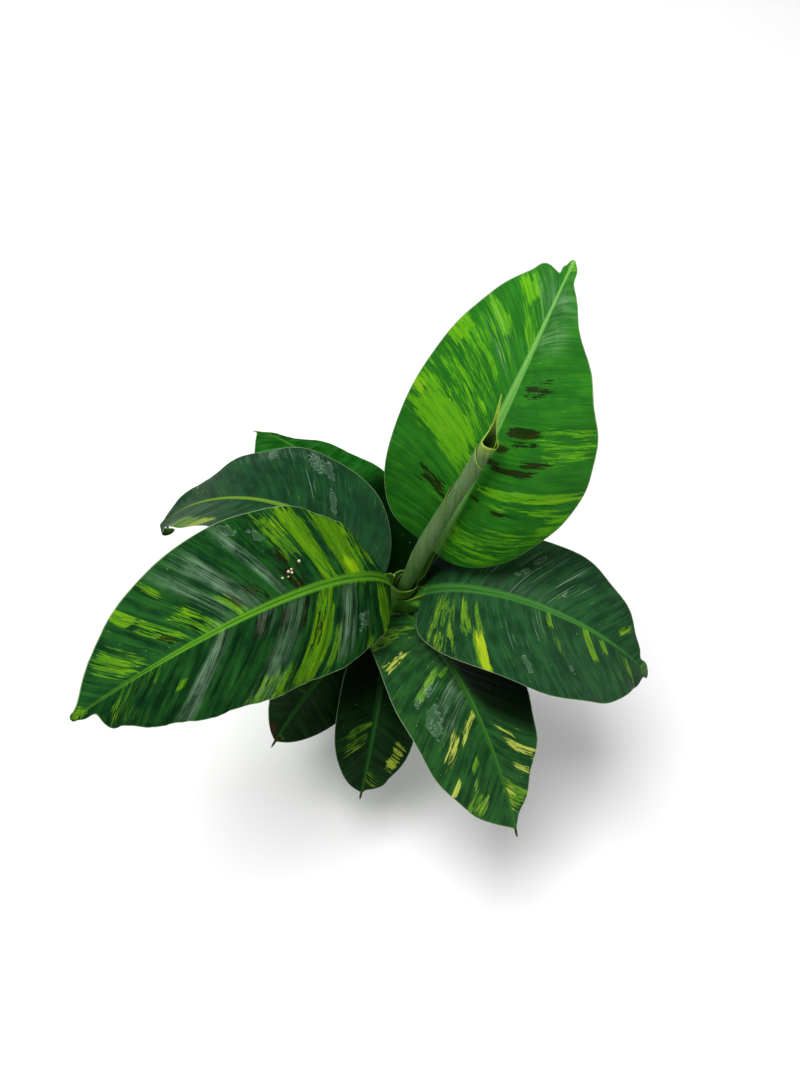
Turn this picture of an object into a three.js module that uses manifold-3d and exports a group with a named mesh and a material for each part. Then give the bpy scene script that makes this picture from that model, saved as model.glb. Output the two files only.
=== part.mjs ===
// Young variegated banana plant: a pseudostem of wrapped leaf sheaths, eight leaves on
// channelled stalks and one leaf still rolled up in the crown. Millimetres, +Z up, the
// flat cut under the pseudostem at z = 0 and the stem's axis on X = Y = 0.
import * as THREE from "three";
import { mergeVertices } from "three/addons/utils/BufferGeometryUtils.js";
import Module from "manifold-3d";

// ---- driving dimensions -------------------------------------------------------------

const GAP = 0.3; // clear air between neighbouring pieces
const STEM = {
  top: 187, // height of the sheath mouth
  sides: 20,
  profile: [ // height, radius: flat cut, root flare, then a slow taper
    [0, 21.5],
    [5, 20.6],
    [14, 18],
    [32, 16.2],
    [80, 15.4],
    [135, 14.4],
    [175, 13.4],
    [187, 13],
  ],
};
const ROLLED = {
  sides: 12,
  path: [ // x, y, height, radius up the roll, then its thin twisted tail
    [0, 0, 187.3, 6.0],
    [-1.5, 0, 205, 6.3],
    [-3, 0, 228, 6.9],
    [-5.2, 0, 255, 8.0],
    [-6.8, 0, 285, 8.4],
    [-7.8, 0, 318, 7.6],
    [-8.6, 0, 352, 6.5],
    [-9, 0, 392, 6.1],
    [-9.8, 0, 425, 6.4],
    [-10.3, 0, 441, 6.2],
    [-12.6, 0, 444, 3.2],
    [-15.5, 0, 458, 2.2],
    [-18, 0, 478, 1.7],
    [-22.5, 0, 498, 1.1],
  ],
};
const BLADE = {
  steps: 18, // stations from base to tip
  columns: 4, // columns each side of the midrib
  start: 0.012, // first and last station, as shares of the blade's length
  end: 0.985,
  thickness: 0.011, // share of the blade's length
  keelWidth: [4.6, 1.4], // half width of the midrib's keel at base and tip
  keelDepth: [3.4, 0.4], // how far the keel hangs below the blade
};
const STALK = {
  footHalf: 2.6, // half width of the foot that lies on the stem
  half: 4.7, // half width where the stalk leaves the stem
  endHalf: 4.3, // half width at the blade
  depth: 4.4,
  endDepth: 3.8,
  stations: 9,
};

// One entry a leaf, youngest first. Angles in degrees: bearing is the compass heading of
// the stalk and sweep its turn by the tip; rise and droop are the slopes of the midrib at
// its foot and tip, bend says how late it comes down; roll and twist turn the blade about
// the midrib; fold and curl are the slopes of the left and right halves at the midrib and
// at the margin; peak is where the blade is widest and full how blunt its base is; lean
// is how far the veins slant towards the tip, at the base and at the tip.
const LEAVES = {
  upright: {
    foot: { bearing: 80, radius: 10, height: 187 },
    bearing: 139, sweep: -29, rise: 88, droop: 67, bend: 2.0,
    stalk: 75, blade: 325, width: 158, peak: 0.32, full: 0.40, skew: -0.06,
    roll: -25, twist: -28, fold: [-16, 44], curl: [40, -44], lean: [0.19, 2.0],
  },
  long: {
    foot: { bearing: 242, radius: 10, height: 193 },
    bearing: 242.5, sweep: 6, rise: 75.5, droop: -7.5, bend: 0.8,
    stalk: 67.5, blade: 361, width: 149, peak: 0.40, full: 0.71, skew: 0.05,
    roll: -15, twist: -30, fold: [-6, -21], curl: [-32, -21], lean: [-0.73, 2.2],
  },
  side: {
    foot: { bearing: -6, radius: 10, height: 187 },
    bearing: 0, sweep: 11, rise: 88, droop: -35, bend: 0.8,
    stalk: 26, blade: 241, width: 152, peak: 0.34, full: 0.58, skew: -0.18,
    roll: 9.5, twist: -18, fold: [19, -1], curl: [-4, 20], lean: [0.38, 1.43],
  },
  arching: {
    foot: { bearing: 173, radius: 13.5, height: 176 },
    bearing: 173, sweep: 41, rise: 41, droop: -82, bend: 1.21,
    stalk: 10, blade: 272, width: 175, peak: 0.28, full: 0.57, skew: -0.08,
    roll: 11, twist: 16, fold: [3, -1], curl: [29, -1], lean: [0, 1.6],
  },
  front: {
    foot: { bearing: 317, radius: 13.5, height: 172 },
    bearing: 317, sweep: 9, rise: 58, droop: -35, bend: 0.89,
    stalk: 2, blade: 250, width: 138, peak: 0.35, full: 0.60, skew: -0.10,
    roll: -3, twist: -8, fold: [-12, 0], curl: [9, 11], lean: [0.3, 2.0],
  },
  lower: {
    foot: { bearing: 287.5, radius: 14.5, height: 154 },
    bearing: 287.5, sweep: 11.5, rise: 25, droop: -47, bend: 0.8,
    stalk: 6, blade: 164, width: 86, peak: 0.42, full: 0.66, skew: 0.05,
    roll: -8, twist: 2, fold: [13.5, 13], curl: [-24, 10], lean: [0, 1.4],
  },
  back: {
    foot: { bearing: 141.5, radius: 14.5, height: 140 },
    bearing: 141.5, sweep: 24.5, rise: 47.5, droop: -45, bend: 0.8,
    stalk: 30, blade: 221, width: 156, peak: 0.30, full: 0.59, skew: 0.01,
    roll: 12, twist: 10, fold: [2, -9.5], curl: [-34, 0], lean: [-0.09, 0.88],
  },
  oldest: {
    foot: { bearing: 252.5, radius: 15, height: 126 },
    bearing: 252.5, sweep: 18, rise: 24, droop: -45, bend: 1.4,
    stalk: 5, blade: 152, width: 79, peak: 0.38, full: 0.53, skew: 0.07,
    roll: 3.5, twist: 1.5, fold: [15, 12], curl: [-26, -21], lean: [-0.11, 1.0],
  },
};
// How far down the stem's side each side stalk's foot reaches; the three youngest
// leaves stand in the sheath mouth and have no such foot.
const FEET = { arching: 24, front: 24, lower: 24, back: 26, oldest: 26 };

const COLOURS = {
  stem: 0x5f7f35,
  rolled: 0x6f8f66,
  stalk: 0x6f9a3a,
  young: 0x2f8a28,
  grown: 0x1f5a2c,
  old: 0x17402a,
};

// ---- small helpers ------------------------------------------------------------------

const wasm = await Module();
wasm.setup();
const rad = THREE.MathUtils.degToRad;
const lerp = THREE.MathUtils.lerp;

/** Triangles of a closed skin over a stack of rings with the same even number of points. */
function loftGeometry(rings) {
  const count = rings[0].length;
  const faces = [];
  for (let level = 0; level + 1 < rings.length; level += 1) {
    for (let side = 0; side < count; side += 1) {
      const next = (side + 1) % count;
      const low = level * count;
      const high = low + count;
      faces.push(low + side, low + next, high + next);
      faces.push(low + side, high + next, high + side);
    }
  }
  faces.push(...capFaces(count, 0).reverse());
  faces.push(...capFaces(count, (rings.length - 1) * count));
  return indexedGeometry(rings.flat(), faces);
}

/** Triangles across a ring, each point joined to the one opposite it. */
function capFaces(count, first) {
  const faces = [];
  for (let side = 0; side + 1 < count / 2; side += 1) {
    const opposite = count - 1 - side;
    faces.push(first + side, first + side + 1, first + opposite - 1);
    faces.push(first + side, first + opposite - 1, first + opposite);
  }
  return faces;
}

/** Indexed geometry from points and triangle corners. */
function indexedGeometry(points, faces) {
  const geometry = new THREE.BufferGeometry();
  geometry.setFromPoints(points);
  geometry.setIndex(faces);
  return geometry;
}

/** Manifold solid from a geometry. */
function toSolid(geometry) {
  const bare = geometry.clone();
  bare.deleteAttribute("normal");
  bare.deleteAttribute("uv");
  const merged = mergeVertices(bare, 1e-4);
  const mesh = new wasm.Mesh({
    numProp: 3,
    vertProperties: new Float32Array(merged.attributes.position.array),
    triVerts: new Uint32Array(merged.index.array),
  });
  return new wasm.Manifold(mesh);
}

/** Geometry of the largest body in a manifold solid. */
function toGeometry(solid) {
  const bodies = solid.decompose();
  bodies.sort((first, second) => second.volume() - first.volume());
  const mesh = bodies[0].getMesh();
  const geometry = new THREE.BufferGeometry();
  geometry.setAttribute("position", new THREE.BufferAttribute(mesh.vertProperties, 3));
  geometry.setIndex(new THREE.BufferAttribute(mesh.triVerts, 1));
  return geometry;
}

/** Named mesh with flat-shaded normals. */
function namedMesh(name, geometry, colour) {
  const faceted = geometry.toNonIndexed();
  faceted.computeVertexNormals();
  const material = new THREE.MeshStandardMaterial({ color: colour, roughness: 0.55 });
  const mesh = new THREE.Mesh(faceted, material);
  mesh.name = name;
  return mesh;
}

// ---- pseudostem and rolled leaf -----------------------------------------------------

/** Stem radius at a height. */
function stemRadius(height) {
  const rows = STEM.profile;
  const upper = Math.max(1, rows.findIndex((row) => row[0] >= height));
  const [z0, r0] = rows[upper - 1];
  const [z1, r1] = rows[upper];
  return lerp(r0, r1, (height - z0) / (z1 - z0));
}

/** Level ring of the stem. */
function stemRing(height, radius) {
  const ring = [];
  for (let side = 0; side < STEM.sides; side += 1) {
    const angle = (2 * Math.PI * side) / STEM.sides;
    ring.push(new THREE.Vector3(radius * Math.cos(angle), radius * Math.sin(angle), height));
  }
  return ring;
}

/** The pseudostem, from the flat cut to the sheath mouth. */
function stemGeometry(grow = 0) {
  const rings = STEM.profile.map(([height, radius]) => stemRing(height, radius + grow));
  for (const point of rings.at(-1)) {
    point.z += grow;
  }
  return loftGeometry(rings);
}

/** The rolled leaf with its tail, as rings square to Z. */
function rolledGeometry(grow = 0) {
  const rings = ROLLED.path.map(([x, y, z, radius]) => {
    const ring = [];
    for (let side = 0; side < ROLLED.sides; side += 1) {
      const angle = (2 * Math.PI * side) / ROLLED.sides;
      const reach = radius + grow;
      ring.push(new THREE.Vector3(x + reach * Math.cos(angle), y + reach * Math.sin(angle), z));
    }
    return ring;
  });
  return loftGeometry(rings);
}

// ---- the leaf rule ------------------------------------------------------------------

/** Direction of the midrib at a share of its length. */
function tangentAt(leaf, share) {
  const slope = rad(leaf.rise + (leaf.droop - leaf.rise) * share ** leaf.bend);
  const heading = rad(leaf.bearing + leaf.sweep * share);
  const level = Math.cos(slope);
  return {
    heading,
    along: new THREE.Vector3(
      level * Math.cos(heading),
      level * Math.sin(heading),
      Math.sin(slope),
    ),
  };
}

/** Points along the midrib, stepped from the stalk's foot. */
function midribPoints(leaf, steps = 160) {
  const { bearing, radius, height } = leaf.foot;
  const start = rad(bearing);
  const step = (leaf.stalk + leaf.blade) / steps;
  const point = new THREE.Vector3(radius * Math.cos(start), radius * Math.sin(start), height);
  const points = [point.clone()];
  for (let index = 0; index < steps; index += 1) {
    point.addScaledVector(tangentAt(leaf, (index + 0.5) / steps).along, step);
    points.push(point.clone());
  }
  return points;
}

/** Place and axes of the midrib at a length from the foot: left, up and along. */
function midribFrame(leaf, points, length) {
  const total = leaf.stalk + leaf.blade;
  const share = THREE.MathUtils.clamp(length / total, 0, 1);
  const slot = Math.min(points.length - 2, Math.floor(share * (points.length - 1)));
  const place = points[slot]
    .clone()
    .lerp(points[slot + 1], share * (points.length - 1) - slot);
  const { heading, along } = tangentAt(leaf, share);
  const level = new THREE.Vector3(-Math.sin(heading), Math.cos(heading), 0);
  const turn = rad(leaf.roll + leaf.twist * share);
  const left = level.applyAxisAngle(along, turn);
  const up = along.clone().cross(left);
  return { place, left, up, along };
}

/** Half width of a blade at a share of its length, before skew, from 0 to 1. */
function outline(leaf, share) {
  const tail = (leaf.full * (1 - leaf.peak)) / leaf.peak;
  const top = leaf.peak ** leaf.full * (1 - leaf.peak) ** tail;
  return (share ** leaf.full * (1 - share) ** tail) / top;
}

/** Point of a blade's middle surface: share along it, side from -1 right to 1 left. */
function bladePoint(leaf, points, share, side) {
  const hand = side < 0 ? 1 : 0;
  const half = leaf.width / 2;
  const reach = half * outline(leaf, share) * (hand ? 1 - leaf.skew : 1 + leaf.skew);
  const out = Math.abs(side) * reach;
  const slant = lerp(leaf.lean[0], leaf.lean[1], share);
  const left = leaf.blade * (1 - share);
  let forward = out * slant * Math.abs(side) ** 0.4;
  forward = forward > 0 ? (forward * left) / (forward + left) : forward;
  const frame = midribFrame(leaf, points, leaf.stalk + leaf.blade * share + forward);
  const spread = Math.min(out / half, 1.3) * 0.5;
  const slope = rad(lerp(leaf.fold[hand], leaf.curl[hand], spread));
  return frame.place
    .addScaledVector(frame.left, out * Math.cos(slope) * Math.sign(side))
    .addScaledVector(frame.up, out * Math.sin(slope));
}

/** Column positions across a blade at one station, the keel's two edges among them. */
function bladeSides(leaf, share, grow) {
  const reach = (leaf.width / 2) * outline(leaf, share);
  const keel = Math.min(0.5, lerp(...BLADE.keelWidth, share) / reach);
  const sides = [0];
  for (let column = 1; column <= BLADE.columns; column += 1) {
    const side = lerp(keel, 1 + grow / reach, (column - 1) / (BLADE.columns - 1));
    sides.push(side);
    sides.unshift(-side);
  }
  return sides;
}

/** Stations from base to tip, closer together at both ends. */
function bladeShares(leaf, grow) {
  const shares = [];
  const start = BLADE.start - grow / leaf.blade;
  for (let step = 0; step <= BLADE.steps; step += 1) {
    const eased = 0.5 - 0.5 * Math.cos((Math.PI * step) / BLADE.steps);
    const mixed = lerp(step / BLADE.steps, eased, 0.75);
    shares.push(lerp(start, BLADE.end, mixed));
  }
  return shares;
}

/** Middle surface of a blade as rows of points with their upward normals. */
function bladeRows(leaf, grow) {
  const points = midribPoints(leaf);
  const nudge = 0.004;
  const shares = bladeShares(leaf, grow);
  return shares.map((share) => bladeSides(leaf, share, grow).map((side) => {
    const place = bladePoint(leaf, points, share, side);
    const ahead = bladePoint(leaf, points, share + nudge, side).sub(place);
    const inner = side > 0 ? side - 0.05 : side;
    const outer = inner + 0.05;
    const across = bladePoint(leaf, points, share, outer)
      .sub(bladePoint(leaf, points, share, inner));
    return { place, normal: ahead.cross(across).normalize(), side, share };
  }));
}

/** Closed blade with its keel below the midrib. */
function bladeGeometry(leaf, grow = 0) {
  const rows = bladeRows(leaf, grow);
  const half = (leaf.blade * BLADE.thickness) / 2 + grow;
  const top = rows.map((row) => row.map(({ place, normal }) => (
    place.clone().addScaledVector(normal, half))));
  const under = rows.map((row) => row.map(({ place, normal, side, share }) => {
    const keel = side === 0 ? lerp(...BLADE.keelDepth, share) : 0;
    return place.clone().addScaledVector(normal, -half - keel);
  }));
  const rings = top.map((row, index) => row.concat(under[index].slice().reverse()));
  return loftGeometry(rings.map((ring) => ring.slice().reverse()));
}

// ---- stalks -------------------------------------------------------------------------

/** Channelled cross-section of a stalk, open side up. */
function stalkSection(frame, half, depth) {
  const outlineShares = [
    [-1, 0.1], [-0.8, -0.5], [-0.3, -0.9], [0.3, -0.9], [0.8, -0.5],
    [1, 0.1], [0.8, 0.4], [0.3, 0], [-0.3, 0], [-0.8, 0.4],
  ];
  return outlineShares.map(([across, rise]) => frame.place
    .clone()
    .addScaledVector(frame.left, across * half)
    .addScaledVector(frame.up, rise * depth));
}

/** Frame of a stalk's foot, upright against the stem's side or in its mouth. */
function footFrame(leaf, drop) {
  const heading = rad(leaf.foot.bearing);
  const out = new THREE.Vector3(Math.cos(heading), Math.sin(heading), 0);
  const height = drop ? leaf.foot.height - drop : STEM.top + GAP;
  const reach = drop ? stemRadius(height) + 2.2 : leaf.foot.radius;
  const place = out.clone().multiplyScalar(reach).setZ(height);
  const left = new THREE.Vector3(-out.y, out.x, 0);
  return { place, left, up: out.clone().negate(), along: new THREE.Vector3(0, 0, 1) };
}

/** Frames along a stalk from its foot to the blade. */
function stalkFrames(leaf, drop) {
  const points = midribPoints(leaf);
  const foot = footFrame(leaf, drop);
  const end = leaf.stalk + leaf.blade * BLADE.start - GAP;
  const join = end > 16 ? 12 : end;
  const frames = [foot];
  if (drop) {
    const lifted = { ...foot, place: foot.place.clone() };
    lifted.place.z = leaf.foot.height - drop * 0.45;
    frames.push(lifted);
  }
  const steps = end > join ? STALK.stations : 0;
  for (let index = 0; index <= steps; index += 1) {
    const length = lerp(join, end, steps ? index / steps : 0);
    frames.push(midribFrame(leaf, points, length));
  }
  return frames;
}

/** A leaf's stalk, tapering from the stem to its blade. */
function stalkGeometry(leaf, drop, grow = 0) {
  const frames = stalkFrames(leaf, drop);
  const last = frames.length - 1;
  const rings = frames.map((frame, index) => {
    const share = index / last;
    let half = lerp(STALK.half, STALK.endHalf, share);
    if (drop && index === 0) {
      half = STALK.footHalf;
    }
    const depth = lerp(STALK.depth, STALK.endDepth, share);
    return stalkSection(frame, half + grow, depth + grow);
  });
  return loftGeometry(rings);
}

// ---- the whole plant ----------------------------------------------------------------

/** Colour of a leaf by its age. */
function leafColour(name) {
  if (name === "upright") {
    return COLOURS.young;
  }
  return ["lower", "oldest", "back"].includes(name) ? COLOURS.old : COLOURS.grown;
}

/** Solids that a stalk must stay clear of. */
function stalkCutters(name) {
  const cutters = [stemGeometry(GAP), rolledGeometry(GAP)];
  for (const [other, leaf] of Object.entries(LEAVES)) {
    cutters.push(bladeGeometry(leaf, 2 * GAP));
    if (other < name) {
      cutters.push(stalkGeometry(leaf, FEET[other] ?? 0, GAP));
    }
  }
  return cutters.map(toSolid);
}

/** All pieces of the plant. */
function buildPlant() {
  const plant = new THREE.Group();
  plant.name = "banana_plant";
  plant.add(namedMesh("pseudostem", stemGeometry(), COLOURS.stem));
  plant.add(namedMesh("rolled_leaf", rolledGeometry(), COLOURS.rolled));
  for (const [name, leaf] of Object.entries(LEAVES)) {
    const blade = bladeGeometry(leaf);
    plant.add(namedMesh(`leaf_${name}`, blade, leafColour(name)));
    let stalk = toSolid(stalkGeometry(leaf, FEET[name] ?? 0));
    for (const cutter of stalkCutters(name)) {
      stalk = stalk.subtract(cutter);
    }
    plant.add(namedMesh(`stalk_${name}`, toGeometry(stalk), COLOURS.stalk));
  }
  return plant;
}

export default buildPlant();
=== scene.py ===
"""Young variegated banana plant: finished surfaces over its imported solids.

Each blade, stalk, the rolled leaf and the pseudostem follow the same rules and sizes as
the solids that they stand for, with finer sections, pleats, sheath edges and colour.
Lengths are metres, angles degrees, and Z points up from the cut under the pseudostem.
"""

import logging
import math
from dataclasses import dataclass
from enum import Enum
from typing import Callable, Optional, Union

import bmesh
import bpy
import numpy as np
from mathutils import Matrix, Vector


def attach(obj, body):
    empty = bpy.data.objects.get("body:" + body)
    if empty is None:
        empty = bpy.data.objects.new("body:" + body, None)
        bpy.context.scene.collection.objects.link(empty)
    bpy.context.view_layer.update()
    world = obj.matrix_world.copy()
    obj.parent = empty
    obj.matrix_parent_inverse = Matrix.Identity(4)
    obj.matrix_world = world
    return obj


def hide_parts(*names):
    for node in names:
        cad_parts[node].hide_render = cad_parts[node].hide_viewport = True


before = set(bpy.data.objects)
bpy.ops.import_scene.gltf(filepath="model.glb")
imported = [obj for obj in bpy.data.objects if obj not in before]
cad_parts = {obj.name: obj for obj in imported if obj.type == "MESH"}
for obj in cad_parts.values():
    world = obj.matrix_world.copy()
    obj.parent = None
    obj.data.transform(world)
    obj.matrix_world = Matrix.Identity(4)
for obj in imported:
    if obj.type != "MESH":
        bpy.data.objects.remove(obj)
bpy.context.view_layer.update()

log = logging.getLogger("banana_plant")

MM = 0.001
RIM = 1e-4
WELD = 2e-6
BODY = "root"

Array = np.ndarray
Colour = tuple[float, float, float, float]
Marks = dict[str, Array]
Rule = Callable[[Array, Array], tuple[Array, Marks]]


# ---- small helpers ------------------------------------------------------------------


def srgb(red: int, green: int, blue: int) -> Colour:
    """Linear colour of a screen colour given from 0 to 255.

    Args:
        red, green, blue: parts of the colour, from 0 to 255.

    Returns:
        The colour with full opacity.
    """
    shares = (red / 255, green / 255, blue / 255)
    linear = [s / 12.92 if s <= 0.04045 else ((s + 0.055) / 1.055) ** 2.4 for s in shares]
    return (linear[0], linear[1], linear[2], 1.0)


def smooth(value: Array, low: float, high: float) -> Array:
    """Smooth step from 0 at low to 1 at high."""
    share = np.clip((value - low) / (high - low), 0, 1)
    return share * share * (3 - 2 * share)


def mix(first: Array, second: Array, share: Array) -> Array:
    """Linear blend of two values or arrays."""
    return first + (second - first) * share


def columns(*parts: Array) -> Array:
    """Arrays side by side as the columns of one array."""
    return np.stack(np.broadcast_arrays(*parts), axis=-1)


def unit(vectors: Array) -> Array:
    """Vectors scaled to length one."""
    return vectors / np.linalg.norm(vectors, axis=-1, keepdims=True)


def moved(points: Array, direction: Array, distance: Array) -> Array:
    """Points moved along directions, each by its own distance."""
    return points + direction * distance[..., None]


def around(reach: Array, turn: Array, height: Array, shift: Union[Array, float] = 0.0) -> Array:
    """Points at a distance and an angle in radians round an upright axis, shifted along x."""
    return columns(shift + reach * np.cos(turn), reach * np.sin(turn), height)


def in_mm(*rows: tuple[float, ...]) -> tuple[tuple[float, ...], ...]:
    """Rows of sizes given in millimetres, as metres."""
    return tuple(tuple(size * MM for size in row) for row in rows)


def shaped_grid(rows: int, across: int, rule: Rule, capped: bool) -> bmesh.types.BMesh:
    """A grid bent to a closed shape, as the start of every skin on the plant.

    Args:
        rows: vertices along the shape.
        across: vertices around it; its first and last columns meet and are welded.
        rule: gives points and marks from the share across and the share along.
        capped: whether the open ends are filled.

    Returns:
        The shaped mesh, with each mark as a vector layer on its vertices.
    """
    mesh = bmesh.new()
    bmesh.ops.create_grid(mesh, x_segments=across - 1, y_segments=rows - 1, size=0.5)
    spread = np.array([vert.co[:2] for vert in mesh.verts]) + 0.5
    points, marks = rule(spread[:, 0], spread[:, 1])
    layers = [(mesh.verts.layers.float_vector.new(name), values) for name, values in marks.items()]
    for index, vert in enumerate(mesh.verts):
        vert.co = points[index]
        for layer, values in layers:
            vert[layer] = values[index]
    bmesh.ops.remove_doubles(mesh, verts=mesh.verts[:], dist=WELD)
    if capped:
        rim = [edge for edge in mesh.edges if edge.is_boundary]
        bmesh.ops.holes_fill(mesh, edges=rim, sides=0)
    return mesh


def to_piece(
    mesh: bmesh.types.BMesh, name: str, material: bpy.types.Material, crease: float = 50
) -> bpy.types.Object:
    """Turn a finished bmesh into an object at the origin.

    Args:
        mesh: closed or open skin, freed here.
        name: name of the new object.
        material: its finish.
        crease: edges sharper than this many degrees stay sharp.

    Returns:
        The object, linked to the scene.
    """
    bmesh.ops.recalc_face_normals(mesh, faces=mesh.faces[:])
    for face in mesh.faces:
        face.smooth = True
    for edge in mesh.edges:
        if len(edge.link_faces) == 2 and edge.calc_face_angle(0) > math.radians(crease):
            edge.smooth = False
    data = bpy.data.meshes.new(name)
    mesh.to_mesh(data)
    mesh.free()
    data.materials.append(material)
    piece = bpy.data.objects.new(name, data)
    bpy.context.scene.collection.objects.link(piece)
    return piece


def place_piece(piece: bpy.types.Object, slot: str, *nodes: str) -> None:
    """Seat a piece on the plant's body, in place of its CAD nodes.

    Args:
        piece: a finished object.
        slot: not used.
        nodes: the solids that it stands for; none for an extra piece.
    """
    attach(piece, BODY)
    if nodes:
        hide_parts(*nodes)
    log.info("%s: %d faces", piece.name, len(piece.data.polygons))


@dataclass(frozen=True)
class Skin:
    """A closed skin on the plant: its grid, its rule, and whether its ends are filled."""

    rows: int
    across: int
    rule: Rule
    capped: bool = True
    crease: float = 60

    def seat(self, name: str, material: bpy.types.Material, slot: str, *nodes: str) -> None:
        """Make the piece and seat it in place of its CAD nodes."""
        mesh = shaped_grid(self.rows, self.across, self.rule, self.capped)
        place_piece(to_piece(mesh, name, material, self.crease), slot, *nodes)


# ---- shader maths -------------------------------------------------------------------

Value = Union["Wire", float]
Paint = Union["Wire", Colour]


class Wire:
    """A number, colour or vector on its way through a shader."""

    def __init__(self, board: "Board", socket: bpy.types.NodeSocket) -> None:
        """Keep the board that the wire lies on, and its socket."""
        self.board = board
        self.socket = socket

    def _maths(self, operation: str, first: Value, second: Value) -> "Wire":
        """Math node of two values."""
        made = self.board.node("ShaderNodeMath", {"operation": operation}, {0: first, 1: second})
        return Wire(self.board, made.outputs[0])

    def __add__(self, other: Value) -> "Wire":
        """Sum."""
        return self._maths("ADD", self, other)

    __radd__ = __add__

    def __sub__(self, other: Value) -> "Wire":
        """Difference."""
        return self._maths("SUBTRACT", self, other)

    def __rsub__(self, other: Value) -> "Wire":
        """Difference, the other way round."""
        return self._maths("SUBTRACT", other, self)

    def __mul__(self, other: Value) -> "Wire":
        """Product."""
        return self._maths("MULTIPLY", self, other)

    __rmul__ = __mul__

    def __truediv__(self, other: Value) -> "Wire":
        """Quotient."""
        return self._maths("DIVIDE", self, other)

    def __abs__(self) -> "Wire":
        """Size without sign."""
        return self._maths("ABSOLUTE", self, 0.0)

    def step(self, low: float, high: float) -> "Wire":
        """Smooth step from 0 at low to 1 at high."""
        made = self.board.node(
            "ShaderNodeMapRange",
            {"interpolation_type": "SMOOTHSTEP"},
            {0: self, 1: low, 2: high, 3: 0.0, 4: 1.0},
        )
        return Wire(self.board, made.outputs[0])

    def parts(self) -> tuple["Wire", "Wire", "Wire"]:
        """The three numbers of a vector."""
        made = self.board.node("ShaderNodeSeparateXYZ", {}, {0: self})
        return tuple(Wire(self.board, socket) for socket in made.outputs)


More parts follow.
